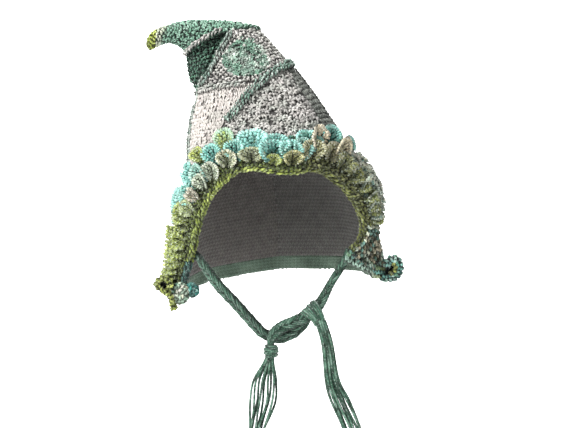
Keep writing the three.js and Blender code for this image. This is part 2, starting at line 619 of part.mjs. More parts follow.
function ellipsoid({ x, y, z }, rx, ry, rz) {
  return new THREE.IcosahedronGeometry(1, 1).scale(rx, ry, rz).translate(x, y, z);
}

// Turns of yarn wrapped round the end of a tie.
function knot({ x, y, z, radius, height }) {
  const profile = [
    [0, -height / 2], [radius * 0.75, -height / 2], [radius, -height / 4], [radius, height / 4],
    [radius * 0.75, height / 2], [0, height / 2],
  ].map(([r, h]) => new THREE.Vector2(r, h));
  return new THREE.LatheGeometry(profile, 10).rotateX(Math.PI / 2).translate(x, y, z);
}

// Strands that leave one head and hang apart, each with its end at a height of its own.
function tassel({ head, radius, strands, rows }) {
  const locks = between(0, strands - 1, strands - 1, (i) => {
    const turn = (2 * Math.PI * i) / strands;
    const points = rows.map((row, k) => new THREE.Vector3(
      row.x + Math.cos(turn) * row.across, row.y + Math.sin(turn) * row.deep,
      row.z + (k === rows.length - 1 ? 5 * Math.sin(i * 2.3) : 0)));
    return tube(points, YARN, 4, 6);
  });
  const bulb = new THREE.OctahedronGeometry(1, 1).scale(radius, radius * 0.8, 7).translate(head.x, head.y, head.z);
  return joined([bulb, ...locks]);
}

const group = new THREE.Group();
function add(name, geometry, colour, roughness = 0.9) {
  const material = new THREE.MeshStandardMaterial({ color: colour, roughness, metalness: 0 });
  const mesh = new THREE.Mesh(geometry, material);
  mesh.name = name;
  group.add(mesh);
}

for (const [name, geometry] of Object.entries(hoodPanels())) add(name, geometry, 0xb5adab);
add('peak_tip', peakTip(), 0xb7bf5d);
for (const [name, geometry] of Object.entries(seams())) add(name, geometry, 0x8f9b8f);

add('hem_ruffle', joined([hemRuffle(), strip(CURL_RIGHT, ROLL)]), 0x6f9d92);
add('scale_border', scaleBorder(), 0x8fae8c);
add('face_edging', faceEdging(), 0xa9b23f);
const cornerScales = CORNER_SCALES.map((c) => ellipsoid(c, c.rx, c.ry, c.rz));
add('corner_curl_left', joined([strip(CURL_LEFT, ROLL), ...cornerScales]), 0x9aa64a);
add('tie_left', tube(TIE_LEFT.map(vector), TIE, 8, 34), 0x4f7d6b);
add('tie_right', tube(TIE_RIGHT.map(vector), TIE, 8, 26), 0x4f7d6b);
add('knot_left', knot(KNOT_LEFT), 0x4f7d6b);
add('knot_right', strip(FOLD_LINE, FOLD), 0x4f7d6b);
add('tassel_left', tassel(TASSEL_LEFT), 0x4f7d6b);
add('tassel_right', tassel(TASSEL_RIGHT), 0x4f7d6b);

export default group;
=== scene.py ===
import math
from functools import partial

import bpy
import numpy as np
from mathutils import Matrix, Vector


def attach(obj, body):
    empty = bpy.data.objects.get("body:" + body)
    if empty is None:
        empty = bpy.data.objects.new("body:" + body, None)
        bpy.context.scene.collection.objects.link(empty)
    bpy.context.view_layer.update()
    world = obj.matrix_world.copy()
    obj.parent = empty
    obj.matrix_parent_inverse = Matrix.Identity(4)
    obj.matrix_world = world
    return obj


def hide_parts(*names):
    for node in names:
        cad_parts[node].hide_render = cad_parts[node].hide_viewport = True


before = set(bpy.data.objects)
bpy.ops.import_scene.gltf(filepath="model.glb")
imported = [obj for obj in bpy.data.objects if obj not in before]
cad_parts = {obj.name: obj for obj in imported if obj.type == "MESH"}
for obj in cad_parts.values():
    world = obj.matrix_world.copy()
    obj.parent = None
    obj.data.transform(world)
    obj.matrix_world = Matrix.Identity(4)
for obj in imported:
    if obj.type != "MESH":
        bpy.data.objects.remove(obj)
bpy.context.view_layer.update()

# A crocheted pixie hood: patchwork cloth, joining seams, a border of overlapping scales, and two braided ties.
# Sizes are in millimetres and degrees until a mesh is made, and meshes are in metres.
MM = 0.001
WALL = 4.5                     # thickness of the crocheted cloth
FULLNESS = 0.92                # below 1 makes a section fuller than an ellipse
STITCH = 6.6                   # width of one stitch of the fine cloth
ROW = 6.0                      # height of one row of it
SEAM_LIFT = 0.8                # how far a seam stands off the cloth
EDGING = 7.0                   # diameter of the corded edge round the face
BAND_LIFT = 3.1                # underside of the scale border above the cloth
HEM_HEIGHT = 0.45              # height of the ruffled hem, in sections
CLOTH_DEPTH = 2.9              # how far the cloth's own face lies under the hood's outer face
CAMERA_AWAY = 1800             # from the camera to the hood's middle
SEEN_WIDTH = 570 * 1.6         # what the picture's width takes in there
FLOOR = -0.565                 # height of the floor in metres, where its bend starts, and the bend's radius
BEND_START = 2.2
BEND = 0.9

rng = np.random.default_rng(11)


# Shape of the hood

# Sections from the neck hem to the peak: left end x, z; right end x, z; front, widest and back y.
SECTIONS = np.array([
    (-166, -290, 160, -262, -108, 15, 125),
    (-164, -245, 156, -218, -114, 12, 120),
    (-162, -200, 150, -178, -119, 8, 120),
    (-159, -157, 141, -141, -121, 6, 124),
    (-153, -115, 126, -105, -120, 8, 127),
    (-150, -76, 108, -68, -115, 12, 126),
    (-150, -42, 91, -28, -102, 16, 120),
    (-146, -6, 69, 9, -82, 20, 110),
    (-138, 36, 40, 50, -58, 24, 98),
    (-150, 62, 15, 83, -38, 27, 86),
    (-155, 83, -11, 113, -20, 30, 76),
    (-155, 98, -37, 141, -8, 31, 68),
    (-155, 104, -66, 153, 0, 31, 61),
    (-162, 111, -97, 156, 5, 30, 55),
    (-173, 118, -128, 157, 8, 29, 49),
    (-185, 120, -157, 155, 10, 27, 43),
    (-198, 116, -186, 148, 11, 25, 38),
    (-209, 110, -208, 138, 13, 23, 33),
    (-215, 107, -218, 127, 16, 22, 28),
], float)

# The face opening: section at the top of the arch, squareness, and half angle (section, degrees) on each side
ARCH_TOP = 4.65
ARCH_POWER = 3.4
LEFT_HALF = np.array([(0, 66), (4.65, 49)], float)
RIGHT_HALF = np.array([(0.6, 33), (0.95, 38), (1.35, 52), (1.8, 60), (2.4, 63), (4.65, 62)], float)

# Seam lines over the hood: (section, turn) for the first two, (turn, section) for the others.
# Turn is 0 in front, 90 on the right, -90 on the left and 180 behind.
FRONT_SEAM = np.array([
    (4.65, 0), (5.2, -14), (5.8, -25), (6.4, -29), (6.85, -19), (7.3, -9), (7.65, -2), (8.05, 9)], float)
CREASE = np.array([(8, -75), (8.7, -42), (9.55, -23), (10.45, -7), (11.1, 8), (11.65, 27)], float)
CROWN_RING = np.array([
    (-180, 8.6), (-130, 8.2), (-75, 8), (9, 8.05), (20, 8.3), (38, 8.65), (69, 9), (90, 9.1), (135, 8.95),
    (180, 8.6)], float)
PEAK_RING = np.array([
    (-180, 11.5), (-100, 12), (10, 12), (27, 11.7), (49, 11.3), (82, 11), (130, 11.1), (180, 11.5)], float)
HEM = np.array([
    (-180, 0.6), (-130, 0.4), (-90, 0), (-60, 0), (30, 1), (38, 0.9), (52, 0.5), (66, 0.15), (86, 0),
    (110, 0.15), (135, 0.4), (180, 0.6)], float)
# Front corners that turn outward: turn, spread, reach, and the section where they fade out
FLARES = ((-70, 22, 11, 2.0), (84, 20, 10, 2.0))
LEFT_SIDE = -98.0
RIGHT_SIDE = 96.0
MOTIF_SIDE = 85.0
POCKET_BACK = -145.0
POCKET_FADE = -92.0             # turn where the pocket under the peak runs out
TIP_LEVEL = 16.6


def unit(v):
    return v / np.maximum(np.linalg.norm(v, axis=-1, keepdims=True), 1e-9)


def look_up(table, value):
    return np.interp(value, table[:, 0], table[:, 1])


def wrapped(turn):
    return (np.asarray(turn, float) + 180) % 360 - 180


def smooth(value, low, high):
    share = np.clip((value - low) / (high - low), 0, 1)
    return share * share * (3 - 2 * share)


def distances(points):
    """Length so far at each point of a line."""
    return np.concatenate([[0], np.cumsum(np.linalg.norm(np.diff(points, axis=0), axis=1))])


def places(wanted, at, values):
    """Points or directions at wanted distances along a line."""
    return np.stack([np.interp(wanted, at, values[:, k]) for k in range(3)], -1)


def cubic(a, b, c, d, f):
    """A smooth curve from b to c, which comes from a and goes on to d."""
    return (2 * b + (c - a) * f + (2 * a - 5 * b + 4 * c - d) * f * f + (3 * b - a - 3 * c + d) * f ** 3) / 2


def joined(rows, count):
    """The first items of all rows as one array, the second ones as another, and so on."""
    return [np.concatenate([row[i] for row in rows]) for i in range(count)]


def crease_turn(level):
    return look_up(CREASE, level)


def crown_ring(turn):
    return look_up(CROWN_RING, wrapped(turn))


def peak_ring(turn):
    return look_up(PEAK_RING, wrapped(turn))


def hem_level(turn):
    return look_up(HEM, wrapped(turn))


def hem_top(turn):
    return hem_level(turn) + HEM_HEIGHT


def section_at(level):
    """The seven numbers of a section at any level, on a smooth curve through the rows."""
    last = len(SECTIONS) - 1
    at = np.clip(np.asarray(level, float), -0.5, last - 1e-6)
    i = np.maximum(np.floor(at).astype(int), 0)
    f = (at - i)[..., None]
    a, b, c, d = (SECTIONS[np.clip(i + k, 0, last)] for k in (-1, 0, 1, 2))
    return np.moveaxis(cubic(a, b, c, d, f), -1, 0)


def pocket_share(turn, level):
    """How far the cloth is folded in under the peak, as a share of the section's half depth."""
    side = wrapped(turn)
    crease = crease_turn(level)
    ramp = smooth(crease - side, 0, 9) * smooth(level - crown_ring(side), 0, 0.9)
    ramp = ramp * smooth(peak_ring(side) - level, 0, 0.35)
    fade = np.sqrt(np.clip((side - POCKET_FADE) / (crease - POCKET_FADE), 0, 1))
    inside = (side <= crease) & (side >= POCKET_FADE) & (np.asarray(level) >= CREASE[0, 0])
    return np.where(inside, 0.5 * ramp * fade, 0)


def brim_wave(turn, level):
    away = (np.asarray(level) - ARCH_TOP) / 0.8
    side = wrapped(turn)
    front = 1 - smooth(np.abs(side), 45, 65)
    return 0.1 * front * np.exp(-away * away) * np.cos(2 * np.pi * (side - 33) / 47)


def hem_swell(turn, level):
    """How far the front corners flare out and the hem waves."""
    side = wrapped(turn)
    above = level - hem_level(side)
    swell = 5 * np.sin(np.radians(side * 15)) * (1 - smooth(above, 0, HEM_HEIGHT))
    for at, spread, reach, top in FLARES:
        swell = swell + reach * np.exp(-((side - at) / spread) ** 2) * (1 - smooth(level, 0, top))
    return swell


def hood_point(turn, level, inset=0.0):
    """A point of the hood's outer face, or of a face inset towards the middle of its section."""
    turn, level = np.broadcast_arrays(np.asarray(turn, float), np.asarray(level, float))
    lx, lz, rx, rz, front, wide, back = section_at(level + brim_wave(turn, level))
    middle = np.stack([(lx + rx) / 2, wide, (lz + rz) / 2], -1)
    sine, cosine = np.sin(np.radians(turn)), np.cos(np.radians(turn))
    across = np.sign(sine) * np.abs(sine) ** FULLNESS
    ahead = np.sign(cosine) * np.abs(cosine) ** FULLNESS
    depth = np.where(ahead > 0, front - wide, wide - back) * ahead
    away = np.stack([(rx - lx) / 2 * across, depth, (rz - lz) / 2 * across], -1)
    inward = inset + pocket_share(turn, level) * (wide - front) - hem_swell(turn, level)
    return middle + away * (1 - inward / np.linalg.norm(away, axis=-1))[..., None]


def hood_frame(turn, level):
    """Point, direction along turn, direction along level, and outward normal."""
    point = hood_point(turn, level)
    along_turn = hood_point(turn + 0.5, level) - hood_point(turn - 0.5, level)
    along_level = (hood_point(turn, level + 0.02) - hood_point(turn, level - 0.02)) / 0.04
    return point, along_turn, along_level, unit(np.cross(along_turn, along_level))


def walk(turn, level, heading, distance, steps=9):
    """Goes a distance over the cloth from a place, and returns the new turn, level, heading and normal."""
    turn, level = np.array(turn, float), np.array(level, float)
    heading = np.array(heading, float)
    for _ in range(steps):
        _, a, b, normal = hood_frame(turn, level)
        heading = unit(heading - normal * np.sum(heading * normal, -1, keepdims=True))
        aa, bb, ab = np.sum(a * a, -1), np.sum(b * b, -1), np.sum(a * b, -1)
        ah, bh = np.sum(a * heading, -1), np.sum(b * heading, -1)
        scale = distance / steps / (aa * bb - ab ** 2)
        turn = turn + scale * (ah * bb - bh * ab)
        level = level + scale * (bh * aa - ah * ab)
    _, _, _, normal = hood_frame(turn, level)
    heading = unit(heading - normal * np.sum(heading * normal, -1, keepdims=True))
    return turn, level, heading, normal


def opening_angle(level, halves):
    height = np.clip(np.asarray(level, float) / ARCH_TOP, 0, 1)
    return look_up(halves, level) * (1 - height ** ARCH_POWER) ** (1 / ARCH_POWER)


def left_border(level):
    """Turn where the front left panel ends: at the face edge, and above it at the front seam."""
    return np.where(np.asarray(level) > ARCH_TOP, look_up(FRONT_SEAM, level), -opening_angle(level, LEFT_HALF))


def right_border(level):
    return np.where(np.asarray(level) > ARCH_TOP, look_up(FRONT_SEAM, level), opening_angle(level, RIGHT_HALF))


def edge_line():
    """The face edge from the left hem over the arch to the right hem: turn, level and length so far."""
    angle = np.radians(np.linspace(0, 180, 1801))
    level = ARCH_TOP * np.sin(angle) ** (2 / ARCH_POWER)
    level = np.clip(level, 0, ARCH_TOP)
    turn = np.where(angle < np.pi / 2, -opening_angle(level, LEFT_HALF), opening_angle(level, RIGHT_HALF))
    keep = level > hem_level(turn) + 0.12
    turn, level = turn[keep], level[keep]
    return turn, level, distances(hood_point(turn, level))


EDGE_TURN, EDGE_LEVEL, EDGE_AT = edge_line()
EDGE_LENGTH = EDGE_AT[-1]


def edge_place(distance):
    return np.interp(distance, EDGE_AT, EDGE_TURN), np.interp(distance, EDGE_AT, EDGE_LEVEL)


def band_place(distance, width):
    """Turn, level, direction away from the face edge, and normal, at a width over the cloth."""
    distance = np.asarray(distance, float)
    turn, level = edge_place(distance)
    ahead = hood_point(*edge_place(distance + 3)) - hood_point(*edge_place(distance - 3))
    _, _, _, normal = hood_frame(turn, level)
    return walk(turn, level, unit(np.cross(normal, unit(ahead))), width)


def band_frame(distance, width):
    """Point, direction along the face edge, direction away from it, and normal, at a width over the cloth."""
    turn, level, away, normal = band_place(distance, width)
    return hood_point(turn, level), np.cross(away, normal), away, normal


# Meshes

def colour(text):
    """A linear colour from its usual six letters."""
    values = np.array([int(text[i:i + 2], 16) / 255 for i in (1, 3, 5)])
    return np.where(values <= 0.04045, values / 12.92, ((values + 0.055) / 1.055) ** 2.4)


def average(palette):
    return np.mean([colour(c) for c in palette], axis=0)


def mesh_piece(name, points, faces, uvs=None, attributes=(), material=None):
    """A smooth-shaded object from points in millimetres. Attributes are (name, type, values) per point."""
    mesh = bpy.data.meshes.new(name)
    mesh.from_pydata((np.asarray(points) * MM).tolist(), [], [tuple(int(i) for i in f) for f in faces])
    if uvs is not None:
        layer = mesh.uv_layers.new(name="yarn")
        corners = np.zeros(len(mesh.loops), dtype=np.int32)
        mesh.loops.foreach_get("vertex_index", corners)
        layer.data.foreach_set("uv", np.asarray(uvs, np.float32)[corners].ravel())
    for label, kind, values in attributes:
        attribute = mesh.attributes.new(label, kind, "POINT")
        key = {"FLOAT": "value", "FLOAT_VECTOR": "vector", "FLOAT_COLOR": "color"}[kind]
        values = np.asarray(values, np.float32)
        if kind == "FLOAT_COLOR":
            values = np.concatenate([values, np.ones((len(values), 1), np.float32)], 1)
        attribute.data.foreach_set(key, values.ravel())
    mesh.polygons.foreach_set("use_smooth", np.ones(len(mesh.polygons), bool))
    if material is not None:
        mesh.materials.append(material)
    mesh.update()
    piece = bpy.data.objects.new(name, mesh)
    bpy.context.scene.collection.objects.link(piece)
    return piece


def path_frames(path):
    """Directions along and across a path, without sudden turns."""
    ahead = unit(np.gradient(path, axis=0))
    side = np.zeros_like(ahead)
    start = np.array([0.0, 1.0, 0.0]) if abs(ahead[0][1]) < 0.8 else np.array([1.0, 0.0, 0.0])
    side[0] = unit(start - ahead[0] * np.dot(start, ahead[0]))
    for i in range(1, len(path)):
        side[i] = unit(side[i - 1] - ahead[i] * np.dot(side[i - 1], ahead[i]))
    return ahead, side, np.cross(ahead, side)


def ring_faces(rings, sides):
    """Faces of rings of points, one after the other, closed at both ends."""
    faces = []
    for r in range(rings - 1):
        for k in range(sides):
            j = (k + 1) % sides
            faces.append((r * sides + k, r * sides + j, (r + 1) * sides + j, (r + 1) * sides + k))
    return faces + [tuple(range(sides))[::-1], tuple((rings - 1) * sides + k for k in range(sides))]


def tube(path, radii, sides):
    """A closed tube along a path: points, faces and uv (once round, millimetres along)."""
    path = np.asarray(path, float)
    radii = np.broadcast_to(np.asarray(radii, float), (len(path),))
    _, side, up = path_frames(path)
    angle = 2 * np.pi * np.arange(sides) / sides
    ring = (np.cos(angle)[None, :, None] * side[:, None, :] + np.sin(angle)[None, :, None] * up[:, None, :])
    points = (path[:, None, :] + ring * radii[:, None, None]).reshape(-1, 3)
    along = distances(path)[:, None]
    uvs = np.stack(np.broadcast_arrays(np.arange(sides)[None, :] / sides, along), -1).reshape(-1, 2)
    return points, ring_faces(len(path), sides), uvs


def combined(parts):
    """Several (points, faces, uvs) as one."""
    points, faces, uvs, start = [], [], [], 0
    for p, f, u in parts:
        points.append(p)
        uvs.append(u)
        faces.extend(tuple(i + start for i in face) for face in f)
        start += len(p)
    return np.concatenate(points), faces, np.concatenate(uvs)


def lobe(path, radius, sides=5):
    """A short plump length of yarn that tapers to both ends."""
    path = np.asarray(path, float)
    count = len(path)
    share = np.linspace(0, 1, count)
    return tube(path, radius * np.maximum(np.sin(np.pi * share), 0.25), sides)


def curve_through(rows, step):
    """Points about a step apart on a smooth curve through the rows."""
    rows = np.asarray(rows, float)
    padded = np.concatenate([[2 * rows[0] - rows[1]], rows, [2 * rows[-1] - rows[-2]]])
    fine = []
    for i in range(len(rows) - 1):
        a, b, c, d = padded[i:i + 4]
        f = np.linspace(0, 1, 24, endpoint=False)[:, None]
        fine.append(cubic(a, b, c, d, f))
    fine = np.concatenate(fine + [rows[-1:]])
    at = distances(fine)
    wanted = np.linspace(0, at[-1], max(int(at[-1] / step), 3) + 1)
    return places(wanted, at, fine)


# Materials

def node(tree, kind, **settings):
    made = tree.nodes.new(kind)
    for key, value in settings.items():
        setattr(made, key, value)
    return made


def math_node(tree, operation, *values):
    made = node(tree, "ShaderNodeMath", operation=operation)
    for socket, value in zip(made.inputs, values):
        if isinstance(value, (int, float)):
            socket.default_value = value
        else:
            tree.links.new(value, socket)
    return made.outputs[0]


def maths(tree):
    """Functions that add, take away and multiply in a node tree."""
    return [partial(math_node, tree, operation) for operation in ("ADD", "SUBTRACT", "MULTIPLY")]


def noise(tree, scale, detail=2):
    """Noise over a piece's own coordinates."""
    made = node(tree, "ShaderNodeTexNoise")
    made.inputs["Scale"].default_value = scale
    made.inputs["Detail"].default_value = detail
    tree.links.new(node(tree, "ShaderNodeTexCoord").outputs["Object"], made.inputs["Vector"])
    return made.outputs["Fac"]


def attribute(tree, name, output="Fac"):
    return node(tree, "ShaderNodeAttribute", attribute_name=name).outputs[output]


def mixed(tree, share, first, second):
    """A colour that goes from the first to the second with share."""
    made = node(tree, "ShaderNodeMix", data_type="RGBA")
    tree.links.new(share, made.inputs[0])
    tree.links.new(first, made.inputs[6])
    if isinstance(second, tuple):
        made.inputs[7].default_value = second
    else:
        tree.links.new(second, made.inputs[7])
    return made.outputs[2]


def yarn_group(name, numbers):
    """A node group from a tint and some numbers to a colour and a height, with its inputs and the yarn's uv."""
    group = bpy.data.node_groups.new(name, "ShaderNodeTree")
    socket = group.interface.new_socket("Tint", in_out="INPUT", socket_type="NodeSocketColor")
    socket.default_value = (0.5, 0.5, 0.5, 1)
    for label, value in numbers.items():
        socket = group.interface.new_socket(label, in_out="INPUT", socket_type="NodeSocketFloat")
        socket.default_value = value
    for label, kind in (("Colour", "NodeSocketColor"), ("Height", "NodeSocketFloat")):
        group.interface.new_socket(label, in_out="OUTPUT", socket_type=kind)
    split = node(group, "ShaderNodeSeparateXYZ")
    group.links.new(node(group, "ShaderNodeUVMap", uv_map="yarn").outputs["UV"], split.inputs[0])
    return group, node(group, "NodeGroupInput").outputs, split.outputs[0], split.outputs[1]


def finished(group, tint, lighter, height):
    """Ends a yarn group: its colour is the tint scaled by lighter."""
    result = node(group, "NodeGroupOutput")
    scaled = node(group, "ShaderNodeVectorMath", operation="SCALE")
    group.links.new(tint, scaled.inputs[0])
    group.links.new(lighter, scaled.inputs["Scale"])
    group.links.new(scaled.outputs[0], result.inputs["Colour"])
    group.links.new(height, result.inputs["Height"])
    return group


def fibre_group():
    """Twisted, slightly fuzzy yarn with plies as relief; painted shade darkens it where it sinks between its
    neighbours and in the grooves between its plies, and pale flecks on its tops are partly painted highlight.
    """
    group, given, across, along = yarn_group("Twisted yarn", {
        "Shade": 1.0, "Plies": 3.0, "Turns per millimetre": 0.16, "Mottle": 0.25, "Depth": 0.75, "Fleck": 0.3})
    add, subtract, multiply = maths(group)
    turns = add(multiply(across, given["Plies"]), multiply(along, given["Turns per millimetre"]))
    phase = multiply(turns, 2 * math.pi)
    wave = math_node(group, "ABSOLUTE", math_node(group, "SINE", multiply(phase, 0.5)))
    height = add(multiply(wave, 0.7), noise(group, 1300))
    lighter = multiply(subtract(noise(group, 260, 3), 0.5), given["Mottle"])
    # painted shade along the plies: the colour is lighter on their crests
    lighter = add(add(lighter, multiply(wave, 0.3)), 0.82)
    # painted shade: the lower the shade attribute, the darker the yarn, by Depth
    sunk_shade = multiply(subtract(1, given["Shade"]), given["Depth"])
    lighter = multiply(lighter, subtract(1, sunk_shade))
    # pale flecks only where the shade attribute is high: partly the yarn's own flecks, partly painted highlight
    pale = multiply(subtract(noise(group, 430), 0.52), 7)
    pale = math_node(group, "MINIMUM", math_node(group, "MAXIMUM", pale, 0), 1)
    pale = multiply(multiply(pale, given["Shade"]), given["Fleck"])
    return finished(group, mixed(group, pale, given["Tint"], (0.74, 0.82, 0.77, 1)), lighter, height)


def cloth_group():
    """Rows of crochet for flat cloth, from a uv counted in stitches, with painted shade: lighter on the
    stitches' crests and darker in the hollows between them.
    """
    group, given, along, upward = yarn_group("Crochet rows", {"Contrast": 0.5})
    add, subtract, multiply = maths(group)
    shift = multiply(math_node(group, "FLOOR", upward), 0.5)
    across = math_node(group, "FRACT", add(along, shift))
    up = math_node(group, "FRACT", upward)
    side = math_node(group, "ABSOLUTE", subtract(across, 0.5))
    lean = subtract(side, multiply(up, 0.34))
    leg = subtract(1, multiply(math_node(group, "ABSOLUTE", subtract(lean, 0.1)), 5.5))
    leg = math_node(group, "POWER", math_node(group, "MAXIMUM", leg, 0), 0.6)
    height = multiply(leg, math_node(group, "SINE", multiply(up, math.pi)))
    # painted shade: the colour follows the stitches' height, by Contrast
    lighter = add(add(multiply(height, given["Contrast"]), multiply(noise(group, 90, 4), 0.5)), 0.35)
    return finished(group, given["Tint"], lighter, add(height, multiply(noise(group, 1100), 0.15)))


FIBRES = fibre_group()
CLOTH = cloth_group()


def wool(name, group, bump, **values):
    """A wool finish. Its colour and depth come from each piece's own tint and shade attributes."""
    material = bpy.data.materials.new(name)
    material.use_nodes = True
    tree = material.node_tree
    shader = tree.nodes["Principled BSDF"]
    for label, value in (("Roughness", 0.86), ("Sheen Weight", 0.2), ("Sheen Roughness", 0.5),
                         ("Specular IOR Level", 0.25)):
        shader.inputs[label].default_value = value
    pattern = node(tree, "ShaderNodeGroup", node_tree=group)
    for label, value in values.items():
        pattern.inputs[label].default_value = value
    tree.links.new(attribute(tree, "tint", "Color"), pattern.inputs["Tint"])
    if "Shade" in pattern.inputs:
        tree.links.new(attribute(tree, "shade"), pattern.inputs["Shade"])
    tree.links.new(pattern.outputs["Colour"], shader.inputs["Base Color"])
    relief = tree.nodes.new("ShaderNodeBump")
    relief.inputs["Strength"].default_value = 0.7
    relief.inputs["Distance"].default_value = bump * MM
    tree.links.new(pattern.outputs["Height"], relief.inputs["Height"])
    tree.links.new(relief.outputs["Normal"], shader.inputs["Normal"])
    return material


# Depth sets how dark the painted shade gets where the yarn sinks, and the fleck setting how many pale flecks,
# partly painted highlight, show on its tops.
STITCH_WOOL = wool("stitch_wool", FIBRES, 0.5, Plies=2.0, Mottle=0.9, Depth=0.93, Fleck=0.22)
SMOOTH_WOOL = wool("smooth_wool", FIBRES, 0.35, Plies=2.0, Mottle=0.35, Depth=0.26, Fleck=0.04)
CLUSTER_WOOL = wool("cluster_wool", FIBRES, 0.5, Plies=2.0, Mottle=0.7, Depth=0.78, Fleck=0.1)
CORD_WOOL = wool("cord_wool", FIBRES, 0.4, Plies=2.0, Mottle=0.7, Depth=0.93, Fleck=0.35)
CLOTH_WOOL = wool("cloth_wool", CLOTH, 1.6, Contrast=0.5)


# Stitches

def stitch_tree():
    """Puts one stitch on every point, turned by the point's own directions and sized unevenly."""
    tree = bpy.data.node_groups.new("Stitches on points", "GeometryNodeTree")
    for label, kind in (("Points", "Geometry"), ("Stitch", "Object"), ("Finish", "Material"), ("Size", "Float"),
                        ("Unevenness", "Float"), ("Seed", "Int")):
        tree.interface.new_socket(label, in_out="INPUT", socket_type="NodeSocket" + kind)
    tree.interface.new_socket("Stitches", in_out="OUTPUT", socket_type="NodeSocketGeometry")
    link = tree.links.new
    given = node(tree, "NodeGroupInput").outputs
    points = node(tree, "GeometryNodeMeshToPoints")
    link(given["Points"], points.inputs["Mesh"])
    named = {}
    for label in ("stitch_normal", "stitch_up", "stitch_size"):
        read = node(tree, "GeometryNodeInputNamedAttribute", data_type="FLOAT_VECTOR")
        read.inputs["Name"].default_value = label
        named[label] = read.outputs["Attribute"]
    turn = node(tree, "FunctionNodeAxesToRotation", primary_axis="Z", secondary_axis="Y")
    link(named["stitch_normal"], turn.inputs[0])
    link(named["stitch_up"], turn.inputs[1])
    stitch = node(tree, "GeometryNodeObjectInfo")
    link(given["Stitch"], stitch.inputs["Object"])
    random_size = node(tree, "FunctionNodeRandomValue", data_type="FLOAT")
    limits = [socket for socket in random_size.inputs if socket.type == "VALUE"]
    for operation, socket in zip(("SUBTRACT", "ADD"), limits):
        link(math_node(tree, operation, 1, given["Unevenness"]), socket)
    link(given["Seed"], random_size.inputs["Seed"])
    value = next(socket for socket in random_size.outputs if socket.type == "VALUE")
    size = node(tree, "ShaderNodeVectorMath", operation="SCALE")
    link(named["stitch_size"], size.inputs[0])
    link(math_node(tree, "MULTIPLY", value, given["Size"]), size.inputs["Scale"])
    place = node(tree, "GeometryNodeInstanceOnPoints")
    link(points.outputs["Points"], place.inputs["Points"])
    link(stitch.outputs["Geometry"], place.inputs["Instance"])
    link(turn.outputs[0], place.inputs["Rotation"])
    link(size.outputs[0], place.inputs["Scale"])
    real = node(tree, "GeometryNodeRealizeInstances")
    link(place.outputs["Instances"], real.inputs["Geometry"])
    finish = node(tree, "GeometryNodeSetMaterial")
    link(real.outputs["Geometry"], finish.inputs["Geometry"])
    link(given["Finish"], finish.inputs["Material"])
    link(finish.outputs["Geometry"], node(tree, "NodeGroupOutput").inputs["Stitches"])
    return tree


STITCHES = stitch_tree()


def stitched(name, stitch, spots, material, unevenness=0.06, seed=1, extra=()):
    """A piece made of one stitch at every spot. Spots are position, normal, up, size and tint arrays."""
    position, normal, up, size, tint = spots
    base = mesh_piece(name + "_points", position, [], attributes=[
        ("stitch_normal", "FLOAT_VECTOR", normal), ("stitch_up", "FLOAT_VECTOR", up),
        ("stitch_size", "FLOAT_VECTOR", size), ("tint", "FLOAT_COLOR", tint), *extra])
    modifier = base.modifiers.new("Stitches", "NODES")
    modifier.node_group = STITCHES
    inputs = {s.name: s.identifier for s in STITCHES.interface.items_tree if s.in_out == "INPUT"}
    modifier[inputs["Stitch"]] = stitch
    modifier[inputs["Finish"]] = material
    modifier[inputs["Size"]] = 1.0
    modifier[inputs["Unevenness"]] = unevenness
    modifier[inputs["Seed"]] = seed
    graph = bpy.context.evaluated_depsgraph_get()
    made = bpy.data.meshes.new_from_object(base.evaluated_get(graph))
    bpy.data.objects.remove(base)
    for label in ("stitch_normal", "stitch_up", "stitch_size"):
        if label in made.attributes:
            made.attributes.remove(made.attributes[label])
    made.name = name
    piece = bpy.data.objects.new(name, made)
    bpy.context.scene.collection.objects.link(piece)
    return piece


def stitch_shape(name, lobes, fall=1.3):
    """A stitch whose yarn gets darker towards its foot, as painted shade between the stitches, the quicker the
    larger fall is.
    """
    points, faces, uvs = combined(lobes)
    uvs = uvs * (1, 7)
    height = points[:, 2]
    shade = np.clip((height - height.min()) / (height.max() - height.min()) * 1.25 - 0.05, 0, 1) ** fall
    return mesh_piece(name, points / MM, faces, uvs, [("shade", "FLOAT", shade)])


# Shapes one unit wide and one unit high, which the points scale to millimetres
V_STITCH = stitch_shape("v_stitch", [
    lobe([(0.03 * s, -0.60, 0.0), (0.16 * s, -0.22, 0.30), (0.31 * s, 0.22, 0.34), (0.31 * s, 0.60, 0.0)], 0.21)
    for s in (-1, 1)])
PLUMP_STITCH = stitch_shape("plump_stitch", [
    lobe([(0.05 * s, -0.62, 0.0), (0.17 * s, -0.22, 0.26), (0.27 * s, 0.22, 0.30), (0.27 * s, 0.62, 0.0)], 0.27)
    for s in (-1, 1)])
BUMP_STITCH = stitch_shape("bump_stitch", [
    lobe([(-0.48, -0.42, 0.0), (-0.2, -0.18, 0.40), (0.16, 0.14, 0.46), (0.46, 0.40, 0.02)], 0.25),
    lobe([(0.46, -0.34, -0.02), (0.18, -0.22, 0.26), (-0.2, 0.24, 0.30), (-0.42, 0.44, 0.0)], 0.23)], 2.4)
CLUSTER_STITCH = stitch_shape("cluster_stitch", [
    lobe([(0.05 * x, 0.05 * y, -0.3), (0.24 * x, 0.24 * y, 0.24), (0.45 * x, 0.45 * y, 0.3),
          (0.66 * x, 0.66 * y, -0.1)],
         0.19) for x, y in [(r * math.cos(a), r * math.sin(a)) for a, r in (
             (0.2, 1.0), (1.35, 0.85), (2.45, 1.1), (3.5, 0.9), (4.65, 1.05), (5.6, 0.8))]], 1.9)
ROPE_STITCH = stitch_shape("rope_stitch", [
    lobe([(-0.62, -0.30, 0.0), (-0.3, -0.16, 0.36), (0.05, 0.02, 0.5), (0.36, 0.18, 0.36),
          (0.62, 0.34, 0.0)], 0.28, 6)], 1.9)


